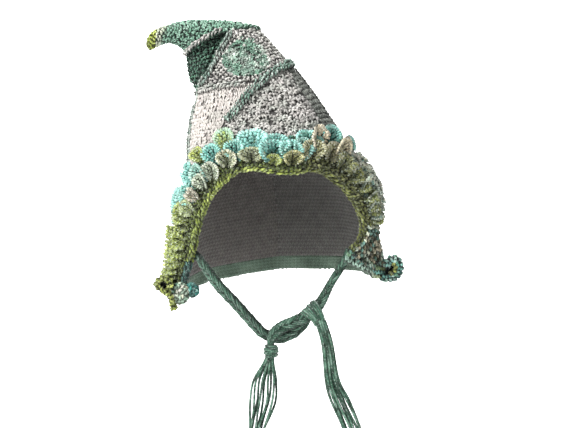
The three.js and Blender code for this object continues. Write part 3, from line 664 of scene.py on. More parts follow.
def palette_tints(palette, count, spread=0.08, run=6):
    """Tints that change slowly from stitch to stitch, as a variegated yarn's do."""
    colours = np.array([colour(c) for c in palette])
    steps = rng.random(max(count // run, 2) + 3) * len(colours)
    along = np.interp(np.arange(count), np.arange(len(steps)) * run, steps)
    low = np.floor(along).astype(int) % len(colours)
    share = (along - np.floor(along))[:, None]
    tints = colours[low] * (1 - share) + colours[(low + 1) % len(colours)] * share
    return np.clip(tints * (1 + spread * rng.standard_normal((count, 1))), 0.002, 1)


def uneven(position, normal, up, size, spin, tilt, shift):
    """The same stitches, each turned, tipped and moved a little."""
    count = len(position)
    side = np.cross(up, normal)
    angle = np.radians(spin) * rng.standard_normal((count, 1))
    up, side = up * np.cos(angle) + side * np.sin(angle), side * np.cos(angle) - up * np.sin(angle)
    lean = np.radians(tilt) * rng.standard_normal((count, 2))
    normal = unit(normal + side * lean[:, :1] + up * lean[:, 1:])
    moved = (side * rng.standard_normal((count, 1)) + up * rng.standard_normal((count, 1))) * shift
    return position + moved, normal, up, size


def row_spots(turns, levels, pitch, height, shift, outset, depth=1.0):
    """Evenly spaced stitches along one row, given as finely sampled turns and levels."""
    points = hood_point(turns, levels)
    at = distances(points)
    count = int(round(at[-1] / pitch))
    if count < 1:
        return None
    wanted = (np.arange(count) + 0.5 + 0.5 * shift) / count * at[-1]
    wanted = wanted[wanted < at[-1]]
    turn, level = np.interp(wanted, at, turns), np.interp(wanted, at, levels)
    point, a, _, normal = hood_frame(turn, level)
    up = np.cross(normal, unit(a))
    widths, depths = np.full(len(turn), at[-1] / count), np.full(len(turn), pitch * depth)
    size = np.stack([widths, height(turn, level), depths], -1)
    return point + normal * outset, normal, up, size * MM, turn, level


def cloth_rows(from_turn, to_turn, row_levels, pitch, depth, outset):
    """Spots for rows of stitches. row_levels lists functions from turn to level, bottom to top."""
    share = np.linspace(0, 1, 160)
    out = []
    for k, line in enumerate(row_levels):
        turns = np.zeros(160)
        levels = line(turns)
        for _ in range(7):
            turns = from_turn(levels) + (to_turn(levels) - from_turn(levels)) * share
            levels = line(turns)
        above = row_levels[min(k + 1, len(row_levels) - 1)]
        below = row_levels[max(k - 1, 0)]
        rows_apart = min(k + 1, len(row_levels) - 1) - max(k - 1, 0)

        def height(turn, level):
            high, low = hood_point(turn, above(turn)), hood_point(turn, below(turn))
            return np.linalg.norm(high - low, axis=-1) / max(rows_apart, 1)

        row = row_spots(turns, levels, pitch, height, k % 2, outset, depth)
        if row is not None:
            out.append(row)
    return joined(out, 6)


def level_lines(low, high, count):
    return [lambda turn, f=(k + 0.5) / count: low(turn) + (high(turn) - low(turn)) * f for k in range(count)]


def constant(value):
    return lambda at: np.full(np.shape(at), float(value))


def cloth_shell(name, from_turn, to_turn, from_level, to_level, columns, rows, tint, gap_shade_tint):
    """The body of a panel: a closed sheet, with the rows of crochet as a uv counted in stitches.

    Tint is its inner face, and the second tint is its outer face, which shows between the stitches; the callers
    pass both darkened, as painted shade.
    """
    share_u, share_v = np.meshgrid(np.linspace(0, 1, columns + 1), np.linspace(0, 1, rows + 1))
    turn = np.zeros_like(share_u)
    level = from_level(turn) + (to_level(turn) - from_level(turn)) * share_v
    for _ in range(8):
        turn = from_turn(level) + (to_turn(level) - from_turn(level)) * share_u
        level = from_level(turn) + (to_level(turn) - from_level(turn)) * share_v
    point, _, _, normal = hood_frame(turn, level)
    outward = unit(point - hood_point(turn, level, 1.0))
    slope = np.maximum(np.sum(normal * outward, -1), 0.4)
    across = np.pad(np.cumsum(np.linalg.norm(np.diff(point, axis=1), axis=2), 1), ((0, 0), (1, 0)))
    upward = np.pad(np.cumsum(np.linalg.norm(np.diff(point, axis=0), axis=2), 0), ((1, 0), (0, 0)))
    middle = across[:, columns // 2:columns // 2 + 1]
    uv = np.stack([(across - middle) / STITCH, upward / ROW], -1).reshape(-1, 2)
    ribs = 0.35 * np.cos(2 * np.pi * upward / ROW)
    outer_face = hood_point(turn, level, CLOTH_DEPTH / slope)
    inner_face = hood_point(turn, level, (WALL - 0.4 + ribs) / slope)
    points = np.concatenate([outer_face.reshape(-1, 3), inner_face.reshape(-1, 3)])
    width, total = columns + 1, (columns + 1) * (rows + 1)
    at = lambda r, c: r * width + c
    faces = []
    for r in range(rows):
        for c in range(columns):
            a0, b0, c0, d0 = at(r, c), at(r, c + 1), at(r + 1, c + 1), at(r + 1, c)
            faces.append((a0, b0, c0, d0))
            faces.append((total + a0, total + d0, total + c0, total + b0))
    rim = [at(0, c) for c in range(columns)] + [at(r, columns) for r in range(rows)]
    rim += [at(rows, columns - c) for c in range(columns)] + [at(rows - r, 0) for r in range(rows)]
    for i, first in enumerate(rim):
        second = rim[(i + 1) % len(rim)]
        faces.append((first, total + first, total + second, second))
    uvs = np.concatenate([uv, uv])
    tints = np.concatenate([np.tile(gap_shade_tint, (total, 1)), np.tile(tint, (total, 1))])
    return mesh_piece(name, points, faces, uvs, [("tint", "FLOAT_COLOR", tints)], CLOTH_WOOL)


def belongs(piece, slot, *nodes):
    """Says what a finished piece rides on and stands for. The slot, what it is made of, is not used."""
    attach(piece, "root")
    if nodes:
        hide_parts(*nodes)
    return piece


# Camera

camera = bpy.data.objects.new("camera", bpy.data.cameras.new("camera"))
bpy.context.scene.collection.objects.link(camera)
camera.data.sensor_width = 36
camera.data.lens = camera.data.sensor_width * CAMERA_AWAY / SEEN_WIDTH
camera.location = (0.005, -CAMERA_AWAY * MM, -0.158)
camera.rotation_euler = (math.pi / 2, 0, 0)
bpy.context.scene.camera = camera


# Ties: the points that their middles pass, from inside the front corners to the knots

TIE_LEFT = [
    (-143.3, -37.5, -222), (-133, -50, -222), (-120, -68, -237), (-97, -86, -266), (-69, -92, -295),
    (-45, -92, -322), (-27, -90, -340), (-6, -90, -347), (16, -90, -340), (30, -90, -328),
    (40.5, -89.1, -315.5)]
TIE_RIGHT = [
    (104, -64, -214), (96, -70, -232), (75, -88, -263), (58, -104, -292), (40, -108, -310), (19, -109, -320),
    (-1, -109, -329), (-13, -108, -341), (-17, -107, -356)]
TIE_COLOURS = ("#2e513f", "#4b7660", "#1d3729", "#6a907b", "#375d48")


def yarn_piece(name, strands):
    """One piece from many yarns, each given as tube data, tints and shades."""
    points, faces, uvs = combined([strand[0] for strand in strands])
    tints = np.concatenate([strand[1] for strand in strands])
    shades = np.concatenate([strand[2] for strand in strands])
    return mesh_piece(name, points, faces, uvs, [("tint", "FLOAT_COLOR", tints), ("shade", "FLOAT", shades)],
                      CORD_WOOL)


def laid_yarn(path, radius, facing, palette, sides=6, deep=1.0):
    """One yarn of a cord or tassel: lit where it faces out, and dark along its sides, where it meets others."""
    points, faces, uvs = tube(path, radius, sides)
    outward = np.repeat(np.broadcast_to(facing, path.shape), sides, axis=0)
    share = np.sum((points - np.repeat(path, sides, axis=0)) * outward, axis=1) / radius
    shade = np.clip(1.5 * np.abs(share) - 0.4, 0, 1) * np.repeat(np.broadcast_to(deep, len(path)), sides)
    tints = np.repeat(palette_tints(palette, len(path), 0.07, 14), sides, axis=0)
    return (points, faces, uvs * (1, 1)), tints * rng.uniform(0.85, 1.15), shade


# painted shade along each slanted yarn of the plait: dark at both ends, where it dives under the others
PLAIT_SHADES = np.array([0.15, 0.4, 0.85, 1.0, 1.0, 0.8, 0.4, 0.15])


def braid(name, rows, widths, growth, thickness, taper):
    """A flat plait: on each side two columns of slanted yarns in threes that dive under each other,
    over a core.

    Its width goes from the first to the second of widths between the distances in growth, and is that times
    taper
    at its end.
    """
    path = curve_through(rows, 1.6)
    _, side, up = path_frames(path)
    at = distances(path)
    width = widths[0] + (widths[1] - widths[0]) * smooth(at, *growth)
    width = width * (taper + (1 - taper) * smooth(at[-1] - at, 0, 22))

    def place(along, across, deep):
        along = np.clip(along, 0.0, at[-1])
        point, across_way, deep_way = (
            np.array([np.interp(along, at, v[:, k]) for k in range(3)]) for v in (path, up, side))
        half = np.interp(along, at, width) / 2 - 1.7
        return point + across_way * across * half + deep_way * deep

    strands = []
    pitch, low = 18.0, 0.5 * thickness - 3.0
    for face in (-1, 1):
        for column in (-1, 1):
            for k in range(-1, int(at[-1] / pitch) + 1):
                start = (k + 0.25 * column) * pitch
                if not -14 < start < at[-1] - 7:
                    continue
                for yarn in (-1, 0, 1):
                    first = start + yarn * 5.6
                    rise = 0.9 * (1 - abs(yarn)) - 0.5
                    line = [place(first + d, column * x, face * (low * h + rise * (h > 0.5))) for d, x, h in (
                        (0, 0.9, -0.25), (2.4, 0.99, 0.3), (5.5, 0.88, 0.75), (9.6, 0.62, 1.0),
                        (13.8, 0.34, 1.0),
                        (18, 0.06, 0.8), (21, -0.14, 0.3), (22.8, -0.22, -0.2))]
                    # the outer two yarns of each three get darker painted shade than the middle one
                    outer_side = side[min(max(int(first / 1.6), 0), len(side) - 1)]
                    strands.append(laid_yarn(np.array(line), 1.7, outer_side,
                                             TIE_COLOURS, 6, PLAIT_SHADES * (1.0 if yarn == 0 else 0.8)))
    core = tube(path, 1.0, 8)
    wide = np.repeat(width * 0.4, 8)
    offset = core[0] - np.repeat(path, 8, axis=0)
    across = np.sum(offset * np.repeat(up, 8, axis=0), axis=1)
    deep = np.sum(offset * np.repeat(side, 8, axis=0), axis=1)
    points = (np.repeat(path, 8, axis=0) + np.repeat(up, 8, axis=0) * (across * wide)[:, None]
              + np.repeat(side, 8, axis=0) * (deep * (0.5 * thickness - 2.2))[:, None])
    count = len(points)
    # the core gets a low shade value, as painted shade deep between the plait's yarns
    strands.append(((points, core[1], core[2]), palette_tints(TIE_COLOURS, count, 0.02, 60),
                    np.full(count, 0.1)))
    return yarn_piece(name, strands), path


def wrapped_knot(name, centre, radius, height):
    """A few turns of the tie's own yarns wound round its end, over a plain core."""
    t = np.linspace(0, 1, 90)
    centre = np.array(centre, float)
    strands = []
    turns = ((-0.43, 0.05), (-0.26, -0.12), (-0.09, 0.1), (0.08, -0.1), (0.25, 0.14), (0.42, -0.05), (0.0, 0.4))
    for k, (level, lean) in enumerate(turns):
        angle = 2 * np.pi * 1.15 * t + 1.9 * k
        bulge = radius - 2.0 - 3.0 * (2 * abs(level)) ** 2 + 0.4 * np.sin(3 * angle + k)
        bulge = bulge * (0.55 + 0.45 * smooth(np.minimum(t, 1 - t), 0, 0.12))
        z = level * height + lean * bulge * np.cos(angle) * 0.8
        away = np.stack([np.cos(angle), np.sin(angle), 0 * angle], -1)
        path = centre + away * bulge[:, None] + np.array([0, 0, 1.0]) * z[:, None]
        strands.append(laid_yarn(path, 1.9, away, TIE_COLOURS))
    share = np.linspace(0, 1, 7)
    core_path = centre + np.array([0, 0, 1.0]) * ((share - 0.5) * (height + 3))[:, None]
    core = tube(core_path, (radius - 3.0) * np.array([0.55, 0.85, 1, 1, 1, 0.85, 0.5]), 12)
    # the core gets a low shade value, as painted shade under the wound yarns
    strands.append((core, palette_tints(TIE_COLOURS, 84, 0.02, 60), np.full(84, 0.15)))
    return yarn_piece(name, strands)


FOLD_ACROSS = (-0.717, -0.159, -0.677)
FOLD_LINE = [
    (44.5, -90.5, -311), (41.0, -91, -304.5), (38.0, -96, -300.2), (38.6, -105, -297.6), (42.2, -113, -299),
    (48.5, -116.8, -306), (54, -118.8, -314), (58.5, -120, -325)]


def folded_knot(name, rows, across, count, pitch):
    """The loose yarns at the end of a tie, laid side by side over the other tie."""
    middle = curve_through(rows, 1.9)
    share = np.linspace(0, 1, len(middle))[:, None]
    late = smooth(share, 0.45, 1.0)
    across = unit(np.array(across, float) * (1 - late) + np.array([-1.0, 0, -0.1]) * late)
    facing = unit(np.cross(np.gradient(middle, axis=0), across))
    strands = []
    for i in range(count):
        side = i - (count - 1) / 2
        path = middle + across * side * pitch * (1 - 0.42 * late)
        path = path + facing * (0.5 * (-1) ** i) + np.array([0, 0.1 * side * side, 0.6 * math.sin(2.4 * i)])
        strands.append(laid_yarn(path, 1.9, facing, TIE_COLOURS))
    return yarn_piece(name, strands)


# Tassels: rows of x, y, z, half width and half depth, from the head to the ends of the strands
TASSEL_LEFT = [
    (-17, -107, -370, 4.5, 3), (-20, -107, -384, 8, 3.5), (-25, -108, -409, 17.5, 3),
    (-28, -108, -440, 18.5, 3.5),
    (-37, -108, -480, 12, 3), (-41, -108, -500, 10, 3)]
TASSEL_RIGHT = [
    (58, -120, -317, 6.8, 1.5), (68.4, -121, -353, 7.8, 1.5), (75.9, -120, -406, 9.3, 2),
    (87, -119, -436, 13, 2),
    (102.8, -118, -473, 14, 2.5), (113, -117, -500, 15, 3)]


def tassel(name, rows, strands, radius):
    """Loose strands that hang side by side, each swaying a little."""
    table = np.array(rows, float)
    made_strands = []
    for i in range(strands):
        place = i / (strands - 1) * 2 - 1 + 0.08 * math.sin(3.1 * i)
        line = table[:, :3].copy()
        line[:, 0] += place * table[:, 3]
        line[:, 1] += 0.8 * (-1) ** i * table[:, 4]
        line[-1, 2] += 4 * math.sin(i * 2.3)
        path = curve_through(line, 2.1)
        at = np.linspace(0, 1, len(path))
        sway = 1.6 * np.sin(at * 9 + 1.9 * i) * at
        path = path + np.stack([sway, 0.4 * sway, 0 * sway], -1)
        made_strands.append(laid_yarn(path, radius, np.array([0.0, 1.0, 0.0]), TIE_COLOURS))
    return yarn_piece(name, made_strands)


knot_left = belongs(wrapped_knot("knot_left_wrap", (-16, -107, -364), 12, 18), "tie_yarn", "knot_left")
knot_right = belongs(folded_knot("knot_right_fold", FOLD_LINE, FOLD_ACROSS, 8, 3.6), "tie_yarn", "knot_right")
for name, rows, knot, widths, growth, taper in (
        ("tie_left", TIE_LEFT, knot_right, (12.5, 20.4), (10, 90), 0.9),
        ("tie_right", TIE_RIGHT, knot_left, (13.5, 19.5), (60, 120), 0.6)):
    piece, path = braid(name + "_braid", rows, widths, growth, 13.0, taper)
    belongs(piece, "tie_yarn", name)
    length = np.sum(np.linalg.norm(np.diff(path, axis=0), axis=1))
belongs(tassel("tassel_left_strands", TASSEL_LEFT, 9, 2.1), "tie_yarn", "tassel_left")
belongs(tassel("tassel_right_strands", TASSEL_RIGHT, 9, 2.3), "tie_yarn", "tassel_right")


# Patchwork panels

CREAM = ("#cdc7c1", "#c6c0ba", "#d1cdc7", "#cdc4bf", "#c0bcb5")
GREY = ("#c4c1bc", "#cfccc7", "#b6b3ad", "#bcbeb6", "#c9c4c0")
# the panel's grey yarn on its right-hand strip, darkened as painted shade on the side turned from the key light
SHADED_STRIP = ("#71756e", "#84877f", "#5f635c")
GREEN = ("#739f88", "#89b19b", "#618e76", "#9cbfab")
# the peak's green yarn, darkened as painted shade in the pocket folded in under the peak
GREEN_IN_SHADE = ("#335644", "#436b57", "#233f31", "#5d8a71")
# speckled yarn on the right side, darkened further as painted shade low there
SPECKLED_AND_SHADED = ("#8fb3a4", "#d6dcc4", "#1c302c", "#c8bfa2", "#2c3818", "#7ba698", "#141e16")
LIME = ("#a9b74a", "#c3d06c", "#8d9d3c")
SAGE = ("#7c9f8b", "#5f8570", "#97b3a2", "#b9c3b8", "#3f6350")
MARGIN = ("#9fb3a8", "#dadbd4", "#5f7f70", "#c4c6bf", "#86998e")
SEAM_GREY = ("#bfc0b9", "#d2d0ca", "#7f8980", "#a9aca4")
SEAM_DARK = ("#6a8b7b", "#a3b9ad", "#4a6a5a", "#c0cdc4", "#7c9a8c")
SEAM_GREEN = ("#7d958a", "#c4c6bf", "#557464", "#a3aea5")

ARCH_ROWS = 27
ABOVE_ROWS = 22


def around_arch(low, high):
    """Row lines that stay level beside the arch and follow the crown ring above it."""
    lines = level_lines(low, constant(ARCH_TOP), ARCH_ROWS)
    return lines + level_lines(constant(ARCH_TOP), high, ABOVE_ROWS)


PANELS = {
    "front_left_panel": (constant(LEFT_SIDE), left_border, hem_top, crown_ring, CREAM, "cream_yarn"),
    "front_right_panel": (right_border, constant(RIGHT_SIDE), hem_top, crown_ring, GREY, "grey_yarn"),
    "back_left_panel": (constant(-180), constant(LEFT_SIDE), hem_top, crown_ring, CREAM, "cream_yarn"),
    "back_right_panel": (constant(RIGHT_SIDE), constant(180), hem_top, crown_ring, GREY, "grey_yarn"),
    "motif_panel": (crease_turn, constant(MOTIF_SIDE), crown_ring, peak_ring, GREY, "motif_yarn"),
    "pocket_panel": (constant(POCKET_BACK), crease_turn, crown_ring, peak_ring, GREEN_IN_SHADE, "green_yarn"),
    "cone_back_panel": (constant(MOTIF_SIDE), constant(POCKET_BACK + 360), crown_ring, peak_ring, GREY,
                        "grey_yarn"),
    "peak_panel": (constant(POCKET_BACK), constant(POCKET_BACK + 360), peak_ring, constant(TIP_LEVEL), GREEN,
                   "green_yarn"),
}
# Columns and rows of the upper panels' cloth
FINENESS = {"peak_panel": (90, 30), "pocket_panel": (56, 40), "motif_panel": (50, 36),
            "cone_back_panel": (50, 30)}

# Stitch shape, pitch, depth as a share of pitch, how far below the surface it starts, and its unevenness:
# spin, tilt and shift
FINE = (V_STITCH, 6.4, 0.7, -1.9, 12, 8, 0.5)
ROUGH = (BUMP_STITCH, 6.4, 0.9, -2.3, 42, 20, 0.9)
KNOBBLY = {"motif_panel": ROUGH, "pocket_panel": ROUGH, "peak_panel": ROUGH, "cone_back_panel": ROUGH}


def panel_stitches(name, slot, spots, way, tints, keep=None, finish=STITCH_WOOL):
    keep = np.ones(len(tints), bool) if keep is None else keep
    spots = uneven(*(values[keep] for values in spots[:4]), *way[4:])
    return belongs(stitched(name, way[0], (*spots, tints[keep]), finish, 0.14, 3), slot)


for name, (from_turn, to_turn, low, high, palette, slot) in PANELS.items():
    columns, rows = FINENESS.get(name, (44, 110))
    plain = average(palette)
    # painted shade: the cloth's outer face, seen between the stitches, is darkened so the gaps read dark (less
    # under the cream), and its inner face is darkened as the shade inside the hood
    gap_shade_tint = plain * (0.66 if palette is CREAM else 0.22)
    belongs(cloth_shell(name + "_cloth", from_turn, to_turn, low, high, columns, rows, plain * 0.3, gap_shade_tint),
            slot, name)
    if name == "motif_panel":
        continue
    if name.startswith("front") or name.startswith("back"):
        lines = around_arch(low, high)
    else:
        count = {"peak_panel": 20, "pocket_panel": 14, "cone_back_panel": 13}[name]
        lines = level_lines(low, high, count)
    way = KNOBBLY.get(name, FINE)
    spots = cloth_rows(from_turn, to_turn, lines, way[1], way[2], way[3])
    turn, level = spots[4:]
    keep = np.ones(len(turn), bool)
    tints = palette_tints(palette, len(turn), 0.09, 5)
    finish = STITCH_WOOL
    if name in ("front_left_panel", "back_left_panel"):
        # plump, close stitches with a small hole here and there
        way = (PLUMP_STITCH, *FINE[1:4], 15, 8, 0.6)
        spots[3] = spots[3] * (1.0, 1.16, 1.0)
        margin = (wrapped(turn) < -73) & (name == "front_left_panel")
        margin_tints = palette_tints(MARGIN, len(turn), 0.2, 1)
        if margin.any():
            panel_stitches(name + "_margin", slot, spots, ROUGH, margin_tints, margin)
        keep = (rng.random(len(turn)) > 0.035) & ~margin
        finish = SMOOTH_WOOL
    if name == "front_right_panel":
        keep = wrapped(turn) > 52
        tints = palette_tints(SHADED_STRIP, len(turn), 0.08, 5)
        low_corner = smooth(level, 2.1, 1.7)[:, None]
        tints = tints * (1 - low_corner) + palette_tints(SPECKLED_AND_SHADED, len(turn), 0.3, 1) * low_corner
    if name == "peak_panel":
        pale = smooth(level, 15.6, 16.3)[:, None]
        tints = tints * (1 - pale) + palette_tints(("#b7c4a8", "#d3d6c0"), len(turn)) * pale
    panel_stitches(name + "_stitches", slot, spots, way, tints, keep, finish)

# The right front panel is worked in coarse clusters.
CLUSTERS = (CLUSTER_STITCH, 12.0, 0.62, -2.6, 60, 16, 1.4)
from_turn, to_turn, low, high, palette, slot = PANELS["front_right_panel"]
coarse = level_lines(low, constant(ARCH_TOP), 16) + level_lines(constant(ARCH_TOP), high, 14)
spots = cloth_rows(from_turn, constant(53), coarse, CLUSTERS[1], CLUSTERS[2], CLUSTERS[3])
spots[3] = spots[3] * (1.1, 1.1, 1.0)
# painted shade: the clusters get darker towards the right, the side turned from the key light
dim = 0.95 - 0.35 * smooth(wrapped(spots[4]), 34, 53)[:, None]
clear = (spots[5] > ARCH_TOP) | (wrapped(spots[4]) > right_border(spots[5]) + 7)
tints = palette_tints(GREY, len(spots[0]), 0.12, 3) * dim
panel_stitches("front_right_panel_clusters", slot, spots, CLUSTERS, tints, clear, CLUSTER_WOOL)


def motif_spots(centre_turn, centre_level, ring_pitch, rings):
    """Stitches in rings round the middle of the round motif."""
    _, a, _, normal = (v[0] for v in hood_frame(np.array([centre_turn]), np.array([centre_level])))
    x = unit(a)
    y = np.cross(normal, x)
    out = []
    for k in range(rings):
        radius = ring_pitch * (k + 0.35)
        count = max(int(round(2 * np.pi * radius / STITCH)), 5)
        angle = 2 * np.pi * (np.arange(count) + 0.5 * (k % 2)) / count
        heading = x * np.cos(angle)[:, None] + y * np.sin(angle)[:, None]
        turn, level, ahead, n = walk(np.full(count, centre_turn), np.full(count, centre_level), heading, radius)
        inside = ((wrapped(turn) > crease_turn(level) + 1.5) & (wrapped(turn) < MOTIF_SIDE - 1)
                  & (level > crown_ring(turn) + 0.08) & (level < peak_ring(turn) - 0.06) & (radius < 160))
        size = np.tile([STITCH * 1.03, ring_pitch * 1.03, STITCH * 0.85], (count, 1)) * MM
        out.append((hood_point(turn, level) - n * 2.2, n, ahead, size, np.full(count, k), inside))
    return joined(out, 6)


position, normal, up, size, ring, inside = motif_spots(12.5, 9.47, 6.2, 22)
panel_stitches("motif_panel_stitches", "motif_yarn", (position, normal, up, size), ROUGH,
               palette_tints(GREY, len(ring), 0.12, 4), inside & (ring > 5), CLUSTER_WOOL)
position, normal, up, size, ring, inside = motif_spots(12.5, 9.47, 8.0, 5)
petals = (CLUSTER_STITCH, *ROUGH[1:4], 60, 24, 1.3)
panel_stitches("motif_middle_stitches", "motif_yarn", (position, normal, up, size * (1.5, 1.2, 1.05)), petals,
               palette_tints(SAGE, len(ring), 0.25, 2), inside)


# Tip of the peak

def peak_tip():
    share_u, share_v = np.meshgrid(np.linspace(0, 360, 25), np.linspace(0, 1, 15))
    level = TIP_LEVEL + 0.03 + share_v * (17.98 - TIP_LEVEL)
    points = hood_point(share_u, level, 2.2)
    middle = points[-1].mean(axis=0)
    cap = [middle + (points[-1] - middle) * f + np.array([-1.0, 0, -0.35]) * d
           for f, d in ((0.75, 1.6), (0.4, 3.0), (0.05, 3.6))]
    grid = np.concatenate([points, np.array(cap)])[:, :24]
    rows = len(grid)
    faces = [(r * 24 + c, r * 24 + (c + 1) % 24, (r + 1) * 24 + (c + 1) % 24, (r + 1) * 24 + c)
             for r in range(rows - 1) for c in range(24)]
    faces.append(tuple(range(24))[::-1])
    faces.append(tuple((rows - 1) * 24 + c for c in range(24)))
    uv = np.stack(np.meshgrid(np.arange(24) / 3, np.arange(rows) / 2.5), -1).reshape(-1, 2)
    flat = grid.reshape(-1, 3)
    # painted shade: the cloth under the tip's stitches is darkened so the gaps read dark
    tints = np.tile(colour(LIME[0]) * 0.35, (len(flat), 1))
    return mesh_piece("peak_tip_cloth", flat, faces, uv, [("tint", "FLOAT_COLOR", tints)], CLOTH_WOOL)


belongs(peak_tip(), "lime_yarn", "peak_tip")
tip_lines = level_lines(constant(TIP_LEVEL), constant(18), 6)
spots = cloth_rows(constant(0), constant(360), tip_lines, STITCH, 0.85, -2.0)
panel_stitches("peak_tip_stitches", "lime_yarn", spots, ROUGH, palette_tints(LIME, len(spots[0]), 0.1, 4))


# Joining seams, each a row of slanted stitches

def seam_spots(turns, levels, pitch, width, height, rows):
    """Rows of stitches side by side along a seam, each row slanted against the next."""
    points, _, _, normal = hood_frame(turns, levels)
    at = distances(points)
    count = int(round(at[-1] / pitch))
    out = []
    for k in range(rows):
        wanted = (np.arange(count) + 0.5 + 0.25 * (k % 2)) / (count + 0.5) * at[-1]
        line = np.stack([np.interp(wanted, at, points[:, i]) for i in range(3)], -1)
        away = unit(np.stack([np.interp(wanted, at, normal[:, i]) for i in range(3)], -1))
        ahead = unit(np.gradient(line, axis=0))
        side = np.cross(away, ahead)
        offset = (k - (rows - 1) / 2) * width / rows
        slant = math.radians(14) * (1 if k % 2 else -1)
        up = side * math.cos(slant) + ahead * math.sin(slant)
        if k % 2:
            up = -up
        size = np.tile([pitch * 1.18, width / rows * 1.2, height * 1.5], (count, 1)) * MM
        out.append((line + side * offset + away * (SEAM_LIFT - 0.4), away, up, size))
    return joined(out, 4)


def seam(name, turns, levels, palette, slot, pitch=5.6, width=6.6, height=4.6, rows=2):
    """A raised seam that replaces the node of the same name."""
    position, normal, up, size = uneven(*seam_spots(turns, levels, pitch, width, height, rows), 12, 10, 0.4)
    tints = palette_tints(palette, len(position), 0.14, 2)
    piece = stitched(name + "_stitches", ROPE_STITCH, (position, normal, up, size, tints), STITCH_WOOL, 0.1, 11)
    return belongs(piece, slot, name)


levels = np.linspace(6.62, 7.9, 60)
turns = look_up(FRONT_SEAM, levels)
ring = np.linspace(14, 98, 160)
turns, levels = np.concatenate([turns, ring]), np.concatenate([levels, crown_ring(ring)])
seam("green_seam", turns, levels, SEAM_DARK, "green_yarn", 5.6, 13.5, 6.4, 3)
ring = np.linspace(-66, -2, 100)
seam("crown_seam_front", ring, crown_ring(ring), SEAM_GREY, "grey_yarn", 6.0, 10.0, 5.8)
ring = np.linspace(104, 274, 200)
seam("crown_seam_back", ring, crown_ring(ring), SEAM_GREY, "grey_yarn")
levels = np.linspace(8.25, 11.4, 100)
seam("crease_seam", crease_turn(levels) + 4, levels, SEAM_GREEN, "grey_yarn", 6.0, 9.0, 5.8)
ring = np.linspace(-96, 18, 120)
seam("peak_seam_front", ring, peak_ring(ring) + 0.05, GREY, "grey_yarn", 6.4, 8.0, 5.6)
ring = np.linspace(36, 256, 200)
seam("peak_seam_back", ring, peak_ring(ring) + 0.05, GREEN, "green_yarn")
levels = np.linspace(0.6, 7.6, 200)
seam("left_side_seam", np.full(200, LEFT_SIDE + 3), levels, MARGIN, "grey_yarn", 5.4, 12.0, 5.0, 3)
levels = np.linspace(0.7, 8.85, 200)
seam("right_side_seam", np.full(200, RIGHT_SIDE), levels, SEAM_GREY, "grey_yarn")
levels = np.linspace(1.15, 8.4, 200)
seam("back_seam", np.full(200, 180.0), levels, SEAM_GREY, "grey_yarn")


# Ruffled hem

HEM_COLOURS = ("#6fb0a5", "#8cc4b6", "#d3ceb4", "#5b9a8f", "#9ca866", "#b9c9b4")


def hem_from(level):
    return opening_angle(level, RIGHT_HALF)


def hem_to(level):
    return 360 - opening_angle(level, LEFT_HALF)


# both faces of the hem's cloth are darkened, as painted shade
belongs(cloth_shell("hem_cloth", hem_from, hem_to, hem_level, hem_top, 220, 8, average(HEM_COLOURS) * 0.5,
                    average(HEM_COLOURS) * 0.25), "hem_yarn", "hem_ruffle")
HEM_WAY = (V_STITCH, 8.2, 0.85, -2.4, 9, 8, 0.4)
spots = cloth_rows(hem_from, hem_to, level_lines(hem_level, hem_top, 3), HEM_WAY[1], HEM_WAY[2], HEM_WAY[3])
panel_stitches("hem_stitches", "hem_yarn", spots, HEM_WAY, palette_tints(HEM_COLOURS, len(spots[0]), 0.09, 6))


# Scales of the border

# Arcs of stitches in a scale: how far out, their count as a share of the outermost, and how lit they are
SCALE_ARCS = ((0.14, 0.4, 0.04), (0.38, 0.65, 0.2), (0.62, 0.85, 0.5), (0.86, 1.0, 0.8))


